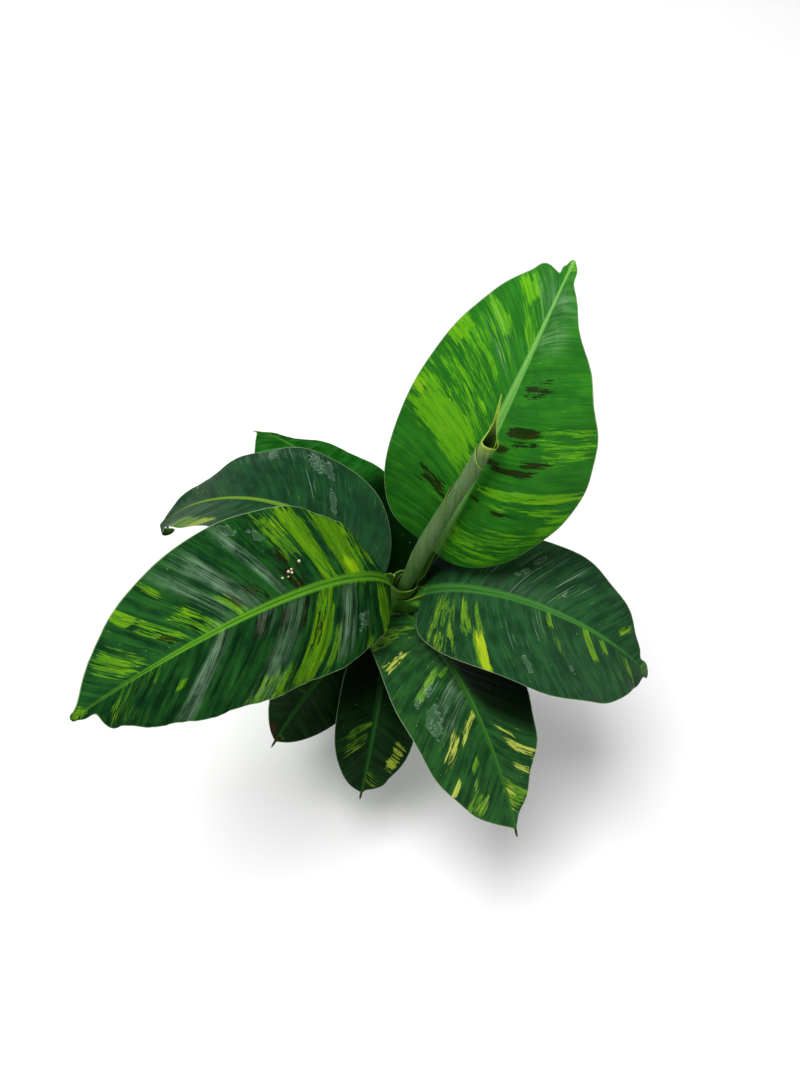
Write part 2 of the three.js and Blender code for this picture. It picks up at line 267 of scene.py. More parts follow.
class Board:
    """The node tree of one material, with a Principled surface."""

    def __init__(self, name: str) -> None:
        """Start a material with an empty tree.

        Args:
            name: name of the material.
        """
        self.material = bpy.data.materials.new(name)
        self.material.use_nodes = True
        self.tree = self.material.node_tree
        self.tree.nodes.clear()

    def node(
        self, kind: str, settings: dict[str, object], sockets: dict[Union[int, str], object]
    ) -> bpy.types.Node:
        """Add any node.

        Args:
            kind: type name of the node.
            settings: its own settings, set before its sockets.
            sockets: a value or a Wire for each input named.

        Returns:
            The node.
        """
        made = self.tree.nodes.new(kind)
        for name, setting in settings.items():
            setattr(made, name, setting)
        for name, value in sockets.items():
            if isinstance(value, Wire):
                self.tree.links.new(value.socket, made.inputs[name])
            else:
                made.inputs[name].default_value = value
        return made

    def attribute(self, name: str) -> Wire:
        """A vector stored on the mesh."""
        made = self.node("ShaderNodeAttribute", {"attribute_name": name}, {})
        return Wire(self, made.outputs["Vector"])

    def cloud(self, scale: float, detail: float = 3.0) -> Wire:
        """Even mottling over the whole piece, from about -0.6 to 0.6."""
        return (self.noise(self.place(), scale, detail) - 0.5) * 2.0

    def place(self) -> Wire:
        """Object coordinates."""
        made = self.node("ShaderNodeTexCoord", {}, {})
        return Wire(self, made.outputs["Object"])

    def vector(self, first: Value, second: Value, third: Value) -> Wire:
        """A vector from three numbers."""
        made = self.node("ShaderNodeCombineXYZ", {}, {0: first, 1: second, 2: third})
        return Wire(self, made.outputs[0])

    def noise(self, where: Wire, scale: float, detail: float = 2.0) -> Wire:
        """Smooth noise from 0 to 1.

        Args:
            where: place to read the noise at.
            scale: how many swells to a metre.
            detail: how many finer layers it holds.

        Returns:
            The noise.
        """
        sockets = {"Vector": where, "Scale": scale, "Detail": detail, "Roughness": 0.55}
        made = self.node("ShaderNodeTexNoise", {}, sockets)
        return Wire(self, made.outputs[0])

    def streaks(self, across: Wire, along: Wire, pitch: float, length: float, seed: float) -> Wire:
        """Fibres of a pitch and length, from about -0.6 to 0.6 and mostly near 0.

        Args:
            across, along: place across and along the fibres.
            pitch, length: size of a fibre.
            seed: which of the patterns.

        Returns:
            The fibres' strength.
        """
        where = self.vector(across * (1 / pitch), along * (1 / length), seed)
        return (self.noise(where, 1.0, 2.0) - 0.5) * 2.4

    def dashes(self, across: Wire, along: Wire, pitch: float, length: float, seed: float) -> Wire:
        """One chance number from -0.5 to 0.5 for each short block between veins.

        Args:
            across, along: place across and along the veins.
            pitch, length: size of a block.
            seed: which of the patterns.

        Returns:
            The blocks' numbers.
        """
        where = self.vector(across * (1 / pitch), along * (1 / length), seed)
        sockets = {"Vector": where, "Scale": 1.0, "Randomness": 1.0}
        made = self.node("ShaderNodeTexVoronoi", {"distance": "CHEBYCHEV"}, sockets)
        return Wire(self, made.outputs["Color"]).parts()[0] - 0.5

    def dots(self, where: Wire, pitch: float, size: float, rarity: float) -> Wire:
        """Small round dots of a size, in a share of the cells of a pitch.

        Args:
            where: place to read the dots at.
            pitch: size of a cell.
            size: radius of a dot.
            rarity: share of the cells without a dot.

        Returns:
            A mask, 1 on the dots.
        """
        made = self.node("ShaderNodeTexVoronoi", {}, {"Vector": where, "Scale": 1 / pitch})
        near = 1.0 - Wire(self, made.outputs["Distance"]).step(0.5 * size / pitch, size / pitch)
        chance = Wire(self, made.outputs["Color"]).parts()[1]
        return near * chance.step(rarity, rarity + 0.05)

    def blend(self, share: Value, first: Paint, second: Paint) -> Wire:
        """Colour between two colours."""
        made = self.node("ShaderNodeMix", {"data_type": "RGBA"}, {0: share, 6: first, 7: second})
        return Wire(self, made.outputs[2])

    def coats(self, ground: Paint, *layers: tuple[Value, Paint]) -> Wire:
        """A ground colour under coats of paint, each laid on by its own share.

        Args:
            ground: the colour underneath.
            layers: pairs of a share and its paint, lowest first.

        Returns:
            The colour on top.
        """
        for share, paint in layers:
            ground = self.blend(share, ground, paint)
        return ground

    def finish(
        self,
        colour: Paint,
        roughness: Value,
        relief: Optional[Wire] = None,
        depth: float = 0.3 * MM,
        sheen: float = 0.5,
    ) -> bpy.types.Material:
        """Close the tree with a Principled surface.

        Args:
            colour: base colour.
            roughness: how matt the surface is.
            relief: height for the bump, from 0 to 1.
            depth: real height of the bump.
            sheen: strength of the surface's reflection.

        Returns:
            The finished material.
        """
        sockets = {"Base Color": colour, "Roughness": roughness, "Specular IOR Level": sheen}
        if relief is not None:
            made = self.node("ShaderNodeBump", {}, {"Strength": 1.0, "Distance": depth, "Height": relief})
            sockets["Normal"] = Wire(self, made.outputs[0])
        surface = self.node("ShaderNodeBsdfPrincipled", {}, sockets)
        self.node("ShaderNodeOutputMaterial", {}, {"Surface": Wire(self, surface.outputs[0])})
        return self.material


# ---- leaf sizes and marks -----------------------------------------------------------


class Tint(Enum):
    """Marks on a blade, painted shade among them: the layer that holds each one, and its place there."""

    LIME = ("tint", 0)
    YELLOW = ("tint", 1)
    MAROON = ("tint", 2)
    # waxy bloom, which also paints a sheen
    BLOOM = ("mark", 0)
    STAIN = ("mark", 1)
    SCRATCH = ("mark", 2)
    SCORCH = ("state", 2)
    # painted deep shade where other leaves shadow the blade
    DUSK = ("shade", 0)


@dataclass(frozen=True)
class Patch:
    """A marked area that lies along the veins of a blade, never narrower than the least half."""

    tint: Tint
    share: float
    side: float
    share_half: float
    side_half: float
    strength: float
    least_half: float = 0.009
    side_margin: float = 0.03

    def weight(self, share: Array, side: Array) -> Array:
        """Strength at places on the blade, soft at the patch's edges and softest along the veins.

        Args:
            share: places along the blade.
            side: places across it, from -1 to 1.

        Returns:
            Strengths from 0 to the patch's own.
        """
        along = np.abs(share - self.share) / max(self.share_half, self.least_half)
        across = np.abs(side - self.side) / (self.side_half + self.side_margin)
        return self.strength * np.clip((1.45 - along) / 0.75, 0, 1) * np.clip((1.35 - across) / 0.75, 0, 1)


def patched(**rows: tuple[tuple[float, ...], ...]) -> tuple[Patch, ...]:
    """Patches of each tint, from rows of share, side, their two half sizes and strength."""
    return tuple(Patch(Tint[tint.upper()], *row) for tint, group in rows.items() for row in group)


@dataclass(frozen=True)
class Notch:
    """A bite in a blade's margin: hand is 1 for the left margin and -1 for the right."""

    hand: int
    share: float
    half: float
    depth: float


@dataclass(frozen=True)
class Leaf:
    """Sizes of one leaf, by the same rule as its solids.

    The foot is where the midrib's line starts; rise and droop are its slopes at the foot
    and tip, bend says how late it comes down, bearing and sweep give its heading, roll and
    twist turn the blade about it, fold and curl are the slopes of the left and right halves
    at the midrib and margin, and lean is how far the veins slant towards the tip. The lobes
    sweep the left and right halves back beside the stalk at the blade's base, and finger_right
    is how wide the right half of the tip's finger is beside its left half. The hook is the
    turn of the finger down and back under the blade, and wring turns the blade's last sixth.
    The pleats between veins grow from the first to the second distance of pleat_start, and
    the margin's waves are wave high and swell_pitch long. The other starts and ends are the
    shares of the blade where a part begins or fades. The veins leave the midrib by the
    power vein_bow, and tip_flat is how much of the slopes the tip loses.
    """

    name: str
    foot_bearing: float
    foot_radius: float
    foot_height: float
    bearing: float
    sweep: float
    rise: float
    droop: float
    bend: float
    stalk: float
    blade: float
    width: float
    peak: float
    full: float
    skew: float
    roll: float
    twist: float
    fold: tuple[float, float]
    curl: tuple[float, float]
    lean: tuple[float, float]
    drop: float = 0.0
    finger: float = 6 * MM
    finger_half: float = 2.0 * MM
    finger_right: float = 1.0
    finger_start: tuple[float, float] = (0.9, 0.99)
    hook: float = 0.0
    wring: float = 0.0
    wring_start: float = 0.84
    vein_bow: float = 0.4
    tip_start: float = 0.93
    tip_flat: float = 0.75
    pleat: float = 0.25 * MM
    pleat_pitch: float = 13 * MM
    pleat_start: tuple[float, float] = (2 * MM, 14 * MM)
    wave: float = 1.2 * MM
    swell_pitch: float = 61 * MM
    phase: float = 0.0
    lobe: tuple[float, float] = (0.0, 0.0)
    lobe_end: tuple[float, float] = (0.02, 0.3)
    notches: tuple[Notch, ...] = ()
    patches: tuple[Patch, ...] = ()

    @property
    def total(self) -> float:
        """Length of stalk and blade."""
        return self.stalk + self.blade

    def tangent(self, share: Array) -> tuple[Array, Array]:
        """Heading and direction of the midrib at shares of its length.

        Args:
            share: shares of the midrib's length.

        Returns:
            Headings in radians, and unit directions.
        """
        slope = np.radians(self.rise + (self.droop - self.rise) * share**self.bend)
        heading = np.radians(self.bearing + self.sweep * share)
        level = np.cos(slope)
        along = columns(level * np.cos(heading), level * np.sin(heading), np.sin(slope))
        return heading, along

    def midrib(self, steps: int = 160) -> Array:
        """Points along the midrib, stepped from the foot.

        Args:
            steps: how many straight steps.

        Returns:
            One point more than there are steps.
        """
        start = math.radians(self.foot_bearing)
        foot = [self.foot_radius * math.cos(start), self.foot_radius * math.sin(start), self.foot_height]
        _, along = self.tangent((np.arange(steps) + 0.5) / steps)
        return np.vstack([foot, np.cumsum(along * self.total / steps, axis=0) + foot])

    def frames(self, length: Array) -> tuple[Array, Array, Array, Array]:
        """Places on the midrib with their left, up and along directions.

        Args:
            length: distances from the foot; past either end the line runs on, with the hook.

        Returns:
            Place, left, up and along, each with one row for each distance.
        """
        points = self.midrib()
        share = np.clip(length / self.total, 0, 1)
        stations = np.linspace(0, 1, len(points))
        heading, along = self.tangent(share)
        place = columns(*(np.interp(share, stations, points[:, axis]) for axis in range(3)))
        level = columns(-np.sin(heading), np.cos(heading), np.zeros_like(heading))
        turn = self.roll + self.twist * share + self.wring * smooth(share, self.wring_start, 1)
        turn = np.radians(turn)[..., None]
        left = level * np.cos(turn) + np.cross(along, level) * np.sin(turn)
        up = np.cross(along, left)
        past = np.clip((length - self.total) / self.finger, 0, 1)[..., None]
        bent = np.radians(self.hook) * past + RIM
        radius = self.finger * past / bent
        place = place + along * (np.minimum(length, 0)[..., None] + np.sin(bent) * radius)
        place = place - up * (1 - np.cos(bent)) * radius
        ahead = along * np.cos(bent) - up * np.sin(bent)
        return place, left, np.cross(ahead, left), ahead

    def outline(self, share: Array) -> Array:
        """Half width of the blade before skew, from 0 to 1.

        Args:
            share: places along the blade.

        Returns:
            Shares of the full half width.
        """
        tail = self.full * (1 - self.peak) / self.peak
        top = self.peak**self.full * (1 - self.peak) ** tail
        held = np.clip(share, 1e-9, 1 - 1e-9)
        return held**self.full * (1 - held) ** tail / top

    def reach(self, share: Array, side: Array) -> Array:
        """Distance from midrib to margin, with notches and the finger at the tip.

        Args:
            share: places along the blade.
            side: places across it; its sign gives the half.

        Returns:
            Distances in metres.
        """
        reach = self.width / 2 * self.outline(share) * np.where(side < 0, 1 - self.skew, 1 + self.skew)
        for notch in self.notches:
            bite = np.exp(-(((share - notch.share) / notch.half) ** 2)) * notch.depth
            reach = reach * np.where(np.sign(side) == notch.hand, 1 - bite, 1)
        past = np.clip((share - 1) * self.blade / self.finger, 0, 1)
        finger = self.finger_half * smooth(share, *self.finger_start) * np.sqrt(1 - past**2)
        finger = finger * np.where(side < 0, self.finger_right, 1)
        return np.sqrt(reach**2 + finger**2)

    def surface(self, share: Array, side: Array) -> tuple[Array, Array, Array, Array]:
        """Places on the blade's middle surface.

        Args:
            share: where the vein leaves the midrib, from 0 to a little past 1.
            side: place across the blade, from -1 at the right margin to 1 at the left.

        Returns:
            Points, the upward normals there, and distances from the midrib and the margin.
        """
        reach = self.reach(share, side)
        out = np.abs(side) * reach
        sign = np.sign(side)
        pairs = (self.lobe, self.fold, self.curl)
        lobe, fold, curl = (np.where(side < 0, right, left) for left, right in pairs)
        slant = mix(*self.lean, share) - lobe * (1 - smooth(share, *self.lobe_end))
        left_over = np.maximum(self.blade * (1 - share), 1e-6)
        forward = out * slant * np.abs(side) ** self.vein_bow
        eased = forward * left_over / (np.maximum(forward, 0) + left_over)
        forward = np.where(forward > 0, eased, forward)
        place, left, up, _ = self.frames(self.stalk + self.blade * share + forward)
        spread = np.minimum(out / (self.width / 2), 1.3) * 0.5
        kept = 1 - self.tip_flat * smooth(share, self.tip_start, 1.0)
        slope = np.radians(mix(fold, curl, spread)) * kept
        across = left * (np.cos(slope) * sign)[..., None] + up * np.sin(slope)[..., None]
        normal = up * np.cos(slope)[..., None] - left * (np.sin(slope) * sign)[..., None]
        lift = self.ripple(share, side, out)
        return moved(moved(place, across, out), normal, lift), normal, out, reach - out

    def ripple(self, share: Array, side: Array, out: Array) -> Array:
        """Height of the pleats between veins and of the wavy margin.

        Args:
            share: places along the blade.
            side: places across it, from -1 to 1.
            out: distances from the midrib.

        Returns:
            Heights in metres.
        """
        along = share * self.blade
        turns = 2 * math.pi * along / self.pleat_pitch + self.phase + np.sign(side) * 0.8
        pleats = np.sin(turns + 1.1 * np.sin(turns * 0.31)) + 0.45 * np.sin(turns * 1.83 + 2.0)
        fade = smooth(out, *self.pleat_start) * (1 - 0.55 * smooth(np.abs(side), 0.5, 1.0))
        ends = smooth(share, 0.02, 0.12) * (1 - smooth(share, 0.86, 0.98))
        swell = np.sin(2 * math.pi * along / self.swell_pitch + self.phase * 2 + side)
        return ends * (self.pleat * pleats * fade + self.wave * np.abs(side) ** 3 * swell)


# ---- blades -------------------------------------------------------------------------


@dataclass(frozen=True)
class BladeFinish:
    """Colours of one blade and how strongly it is variegated.

    The dark is the colour of painted deep shade, the blotch and black-green make the brown marks,
    the wax is the colour of the waxy bloom, which also paints a sheen, and water, score and
    burnt are dried drops, scratches and scorched margins. The rib fades by its own share towards
    the tip, and is as wide there and at the base as its pair of halves says.
    """

    green: Colour
    deep: Colour
    lime: Colour
    yellow: Colour
    rib: Colour
    rib_groove: Colour
    under: Colour
    margin: Colour = srgb(150, 172, 128)
    # colour of the painted deep shade
    dark: Colour = srgb(2, 15, 2)
    blotch: Colour = srgb(40, 17, 8)
    black_green: Colour = srgb(16, 20, 9)
    # colour of the waxy bloom and its painted sheen
    wax: Colour = srgb(158, 180, 160)
    water: Colour = srgb(150, 178, 156)
    score: Colour = srgb(158, 184, 160)
    burnt: Colour = srgb(52, 33, 14)
    rib_fade: float = 0.0
    sheen: float = 0.07
    lime_level: float = 0.0
    roughness: float = 0.44
    rib_half: tuple[float, float] = (4.9 * MM, 1.3 * MM)
    seed: float = 0.0

    def build(self, name: str) -> bpy.types.Material:
        """Make the blade's material.

        Args:
            name: name of the material.

        Returns:
            The material, which reads the marks stored on the blade.
        """
        board = Board(name)
        vein, out, edge = board.attribute("place").parts()
        share, under, scorch = board.attribute("state").parts()
        lime, yellow, maroon = board.attribute("tint").parts()
        bloom, stain, scratch = board.attribute("mark").parts()
        dusk, _, _ = board.attribute("shade").parts()
        where = board.place()

        # fibres and blocks along the veins, from fine to broad
        seed = self.seed
        fine = board.streaks(vein, out, 0.9 * MM, 46 * MM, seed)
        comb = board.streaks(vein, out, 1.7 * MM, 30 * MM, seed + 3)
        short = board.streaks(vein, out, 1.1 * MM, 8 * MM, seed + 5)
        broad = board.streaks(vein, out, 6 * MM, 34 * MM, seed + 7)
        blocks = board.dashes(vein, out, 2.6 * MM, 15 * MM, seed)
        flecks = board.dashes(vein, out, 1.1 * MM, 7 * MM, seed + 9)
        cloud = board.cloud(60.0)
        ragged = comb * 0.5 + short * 0.3 + broad * 0.4 + blocks * 0.22 + flecks * 0.12

        # the green leaf and its lime, yellow and brown marks
        green = board.coats(
            self.deep,
            ((broad * 0.8 + cloud * 0.7 + fine * 0.3).step(-0.45, 0.5), self.green),
            ((fine + comb * 0.5).step(0.12, 0.7) * 0.2, self.lime),
        )
        light = board.coats(
            self.lime,
            ((fine * 0.8 + blocks * 0.7 + yellow).step(0.0, 0.9), self.yellow),
            ((comb + flecks * 0.6).step(-0.05, 0.5) * 0.75, self.green),
        )
        streaked = (lime * 0.95 + self.lime_level + ragged).step(0.42, 0.58)
        golden = (yellow * 0.95 + ragged).step(0.44, 0.6)
        blotted = (maroon * 0.9 + blocks * 0.5 + flecks * 0.34 + short * 0.22).step(0.42, 0.54)
        brown = board.blend(flecks.step(-0.3, 0.4), self.blotch, self.black_green)

        # waxy bloom that also paints a sheen, painted deep shade, dried drops, scratches, dust and scorched
        # places
        # waxy bloom streaks, which also paint a sheen
        bloom_and_painted_sheen = bloom * (fine * 0.7 + comb * 0.4 + broad * 0.5 + cloud * 0.5).step(-0.35, 0.8)
        # painted deep shade where the leaves above shadow the blade; it also dims the rib
        dark = (dusk * 1.2 + broad * 0.25 + cloud * 0.15).step(0.1, 1.0)
        drop = stain * 0.8 + (board.noise(where, 230.0, 3.0) - 0.5) * 1.5
        wet = drop.step(0.44, 0.48)
        ring = wet * (1.0 - drop.step(0.5, 0.56))
        scored = scratch * board.streaks(vein, out, 1.5 * MM, 70 * MM, seed + 2).step(0.34, 0.4)
        dust = board.dots(where, 9 * MM, 0.8 * MM, 0.72) + board.dots(where, 5 * MM, 0.5 * MM, 0.85)
        burnt = (scorch * 1.2 + cloud * 0.3 + short * 0.2).step(0.42, 0.62)

        # the midrib with its groove, the pale lip of the margin and the underside
        ratio = abs(out) / (self.rib_half[0] - share * (self.rib_half[0] - self.rib_half[1]))
        rib = (1.0 - ratio.step(0.5, 1.25)) * (1.0 - share.step(0.7, 1.0) * self.rib_fade)
        groove = 1.0 - ratio.step(0.05, 0.45)
        rib_lines = board.streaks(out, vein, 0.5 * MM, 30 * MM, seed)
        grooved = (groove * 0.8 + rib_lines * 0.7 + 0.1).step(0.0, 1.0)
        lip = 1.0 - edge.step(0.25 * MM, 0.75 * MM)
        pale = board.coats(
            self.under,
            ((fine * 0.7 + broad * 0.6).step(-0.5, 0.6), self.green),
            (streaked * 0.8, self.lime),
            ((1.0 - ratio.step(0.8, 1.5)) * 0.8, self.rib),
        )
        colour = board.coats(
            green,
            (streaked * 0.94, light),
            (golden * (0.92 - flecks.step(-0.1, 0.5) * 0.25), self.yellow),
            (blotted * 0.85, brown),
            (bloom_and_painted_sheen * 0.62, self.wax),
            (dark * 0.94, self.dark),
            (wet * 0.08 + ring * 0.38, self.water),
            (scored * 0.5 + dust * 0.3, self.score),
            (rib * (0.92 - dark * 0.35), board.blend(grooved, self.rib, self.rib_groove)),
            (lip * 0.75, self.margin),
            (under * 0.9, pale),
            (burnt * 0.85, self.burnt),
        )
        roughness = self.roughness + bloom_and_painted_sheen * 0.15 + (fine + 0.5) * 0.1 + under * 0.16 + burnt * 0.2
        return board.finish(colour, roughness, fine * 0.35 + comb * 0.25 + 0.5, 0.25 * MM, self.sheen)


@dataclass
class Blade:
    """A blade with its midrib, dressed with its own marks.

    The rib's half width, the keel below it and the channel along its top are given at the
    blade's base and tip.
    """

    leaf: Leaf
    look: BladeFinish
    slot: str
    rows: int = 240
    per_side: int = 48
    thickness: float = 0.7 * MM
    rib_half: tuple[float, float] = (4.6 * MM, 1.2 * MM)
    keel: tuple[float, float] = (5.2 * MM, 0.6 * MM)
    channel: tuple[float, float] = (1.5 * MM, 0.2 * MM)
    first_share: float = 0.002

    def sides(self, across: Array) -> tuple[Array, Array]:
        """Place across the blade, and whether on its underside, round the section.

        Args:
            across: share of the way round the section.

        Returns:
            Places from -1 to 1, and whether each is on the underside.
        """
        under = across > 0.5
        spread = np.where(under, -1 + 4 * (across - 0.5), 1 - 4 * across)
        return np.sign(spread) * np.abs(spread) ** 1.3, under

    def shares(self, along: Array) -> Array:
        """Shares along the midrib, closer together at both ends.

        Args:
            along: shares of the rows.

        Returns:
            Shares of the blade, a little past 1 for the finger.
        """
        eased = 0.5 - 0.5 * np.cos(math.pi * along)
        last = 1 + self.leaf.finger / self.leaf.blade
        return self.first_share + (last - self.first_share) * mix(along, eased, 0.6)

    def skin(self, across: Array, along: Array) -> tuple[Array, Marks]:
        """Points and marks of the closed skin, top and underside in one loop.

        Args:
            across: share of the way round the section.
            along: share of the way from the foot to the end.

        Returns:
            The points, and the marks that the finish reads on them.
        """
        side, under = self.sides(across)
        share = self.shares(along)
        point, normal, out, edge = self.leaf.surface(share, side)
        rib_half, dip, depth = (
            mix(*pair, np.clip(share, 0, 1)) for pair in (self.rib_half, self.channel, self.keel)
        )
        rib = out / rib_half
        half = self.thickness / 2 * (1 - np.abs(side) ** 6)
        hollow = -dip * np.exp(-((rib * 1.5) ** 2)) + 0.35 * dip * np.exp(-(((rib - 1.1) * 3) ** 2))
        keel = depth * np.sqrt(np.clip(1 - rib**2, 0, 1))
        taper = smooth(share, 0.0, 0.02) * (1 - smooth(share, 0.97, 1.0))
        lift = np.where(under, -half - keel * taper, half + hollow * taper)
        return moved(point, normal, lift), self.marks(share, side, out, edge, under)

    def marks(self, share: Array, side: Array, out: Array, edge: Array, under: Array) -> Marks:
        """Values that the finish reads on each vertex.

        Args:
            share: places along the blade.
            side: places across it, from -1 to 1.
            out, edge: distances from the midrib and the margin.
            under: whether on the underside.

        Returns:
            Each layer's values, one row for each vertex.
        """
        layers = {name: np.zeros((len(share), 3)) for name in ("tint", "mark", "state", "shade")}
        for patch in self.leaf.patches:
            name, axis = patch.tint.value
            layers[name][:, axis] = np.maximum(layers[name][:, axis], patch.weight(share, side))
        layers["state"][:, 0] = np.clip(share, 0, 1)
        layers["state"][:, 1] = under & (np.abs(side) < 0.999)
        layers["place"] = columns(share * self.leaf.blade, out * np.sign(side), edge)
        return layers

    def build(self) -> None:
        """Make the blade and seat it in place of its solid."""
        name = self.leaf.name
        skin = Skin(self.rows, 4 * self.per_side + 1, self.skin)
        skin.seat(f"blade_{name}", self.look.build(f"blade_{name}"), self.slot, f"leaf_{name}")


# ---- pseudostem ---------------------------------------------------------------------


@dataclass(frozen=True)
class Sheath:
    """One leaf sheath wrapped round the stem, open away from its leaf near the top."""

    bearing: float
    top: float


@dataclass(frozen=True)
class StemFinish:
    """Green leaf sheaths with a waxy bloom, purple-brown flecks and dry edges, darker at the top and in the
    mouth as painted shade.
    """

    green: Colour = srgb(92, 122, 44)
    pale: Colour = srgb(132, 156, 72)
    purple: Colour = srgb(70, 50, 34)
    dry: Colour = srgb(150, 122, 74)
    bloom: Colour = srgb(140, 162, 112)
    root: Colour = srgb(112, 86, 54)
    # darker green for the top and the mouth's inside, as painted shade under the crown
    young: Colour = srgb(58, 92, 26)
    sheen: float = 0.18

    def build(self) -> bpy.types.Material:
        """Make the material, which reads the height, angle and edges on the stem.

        Returns:
            The finished material.
        """
        board = Board("leaf_sheaths")
        height, turn, edge = board.attribute("wrap").parts()
        inside, age, _ = board.attribute("rim").parts()
        fibres = board.streaks(turn, height, 1.4 * MM, 70 * MM, 1.0)
        threads = board.streaks(turn, height, 0.6 * MM, 30 * MM, 2.0)
        flecks = board.dashes(turn, height, 1.6 * MM, 9 * MM, 3.0)
        cloud = board.cloud(45.0)
        aged = 1.0 - height.step(0.1, 0.19)
        spotted = (flecks * 0.5 + cloud * 0.9 + fibres * 0.3 + aged * 0.2).step(0.42, 0.62)
        worn = (1.0 - height.step(0.0, 0.028)) * (0.6 + cloud * 0.5)
        colour = board.coats(
            self.green,
            ((fibres * 0.8 + cloud * 0.5 + threads * 0.3).step(-0.5, 0.5), self.pale),
            # painted shade: darker towards the top, under the crown
            (height.step(0.12, 0.18) * 0.7, self.young),
            (spotted * 0.55, self.purple),
            ((cloud + threads * 0.4).step(-0.1, 0.6) * 0.35, self.bloom),
            (worn, self.root),
            (edge * (0.3 + age * 0.5), self.dry),
            # painted shade inside the mouth
            (inside * 0.6, self.young),
        )
        relief = threads * 0.5 + fibres * 0.4 + 0.5
        return board.finish(colour, 0.5 + (threads + 0.5) * 0.12, relief, 0.3 * MM, self.sheen)


@dataclass
class Pseudostem:
    """The stem of wrapped sheaths, from the flat cut to its open mouth.

    The profile gives its outer radius at each height. The opening is the height over which
    a sheath closes round the stem from its least half angle, the edge line is the half
    width of its dry rim, and the mean plies are what the profile already holds at three
    heights. The lip is lifted and waves by its pair, the wall is the stem's thickness at
    the lip and down in the mouth, and outside is the share of the rows on the outside.
    """

    profile: tuple[tuple[float, ...], ...] = in_mm(
        (0.0, 21.5), (5, 20.6), (14, 18), (32, 16.2), (80, 15.4), (135, 14.4), (175, 13.4), (187, 13),
    )
    sheaths: tuple[Sheath, ...] = (
        Sheath(60, 0.072), Sheath(252.5, 0.126), Sheath(141.5, 0.14), Sheath(287.5, 0.154),
        Sheath(317, 0.172), Sheath(173, 0.176),
    )
    mean_plies: tuple[tuple[float, ...], ...] = ((0, 0.06, 0.187), (4.4, 3.9, 0.6))
    mouth: float = 187 * MM
    mouth_depth: float = 14 * MM
    wall: tuple[float, float] = (0.8 * MM, 2.2 * MM)
    lip: tuple[float, float] = (1.4 * MM, 2.2 * MM)
    lip_line: float = 1.2 * MM
    opening: float = 62 * MM
    least_half: float = 22.0
    edge_line: float = 0.7 * MM
    wobble: float = 0.35 * MM
    ply: float = 0.85 * MM
    outside: float = 0.9
    rows: int = 300
    across: int = 181

    def radius(self, height: Array) -> Array:
        """Outer radius of the stem at a height."""
        return np.interp(height, *zip(*self.profile))

    def cover(self, height: Array, turn: Array) -> tuple[Array, Array, Array]:
        """Plies over a place, the nearness of a sheath's edge and the age of that sheath.

        Args:
            height: heights on the stem.
            turn: angles round it in degrees.

        Returns:
            Plies, nearness from 0 to 1, and age from 0 to 1.
        """
        plies, edge, age = (np.zeros_like(height) for _ in range(3))
        for order, sheath in enumerate(self.sheaths):
            away = np.abs((turn - sheath.bearing + 180) % 360 - 180)
            below = np.clip((sheath.top - height) / self.opening, -0.2, 1)
            closed = np.clip(below, 0, 1) ** 0.8
            half = np.where(below > 0, self.least_half + (180 - self.least_half) * closed, -40)
            inward = np.radians(half - away) * self.radius(height)
            plies = plies + smooth(inward, -0.3 * MM, 0.5 * MM) * (1 - 0.12 * order)
            line = np.exp(-(((inward - 0.4 * MM) / self.edge_line) ** 2)) * (below > 0) * (below < 0.98)
            age = np.where(line > edge, 1 - order / len(self.sheaths), age)
            edge = np.maximum(edge, line)
        return plies, edge, age

    def skin(self, across: Array, along: Array) -> tuple[Array, Marks]:
        """Points and marks: up the outside, over the lip and down into the mouth.

        Args:
            across: share of the way round the section.
            along: share of the way from the foot to the end.

        Returns:
            The points, and the marks that the finish reads on them.
        """
        turn = across * 360
        outside = along < self.outside
        down = (along - self.outside) / (1 - self.outside)
        lip = self.mouth + self.lip[0] + self.lip[1] * np.sin(np.radians(turn * 2 + 40))
        height = np.where(outside, lip * np.clip(along / self.outside, 0, 1), lip - down * self.mouth_depth)
        plies, edge, age = self.cover(height, turn)
        spare = self.ply * (plies - np.interp(height, *self.mean_plies))
        wobble = self.wobble * np.sin(np.radians(turn * 3) + height * 40)
        outer = self.radius(np.minimum(height, self.mouth)) + spare + wobble
        inner = self.radius(self.mouth) - mix(*self.wall, down)
        points = around(np.where(outside, outer, inner), np.radians(turn), np.maximum(height, 0))
        near_lip = np.exp(-(((height - lip) / self.lip_line) ** 2))
        edge = np.maximum(edge * outside, near_lip * 0.8)
        # the way round folds back on itself so that the pattern meets where the skin is welded
        folded = np.abs((across + 0.25) % 1 - 0.5) * 0.09
        inside = np.where(outside, 0.0, 1.0)
        return points, {"wrap": columns(height, folded, edge), "rim": columns(inside, age, inside)}

    def build(self) -> None:
        """Make the stem and seat it in place of its solid."""
        skin = Skin(self.rows, self.across, self.skin, crease=70)
        skin.seat("sheathed_stem", StemFinish().build(), "stem", "pseudostem")


# ---- stalks -------------------------------------------------------------------------


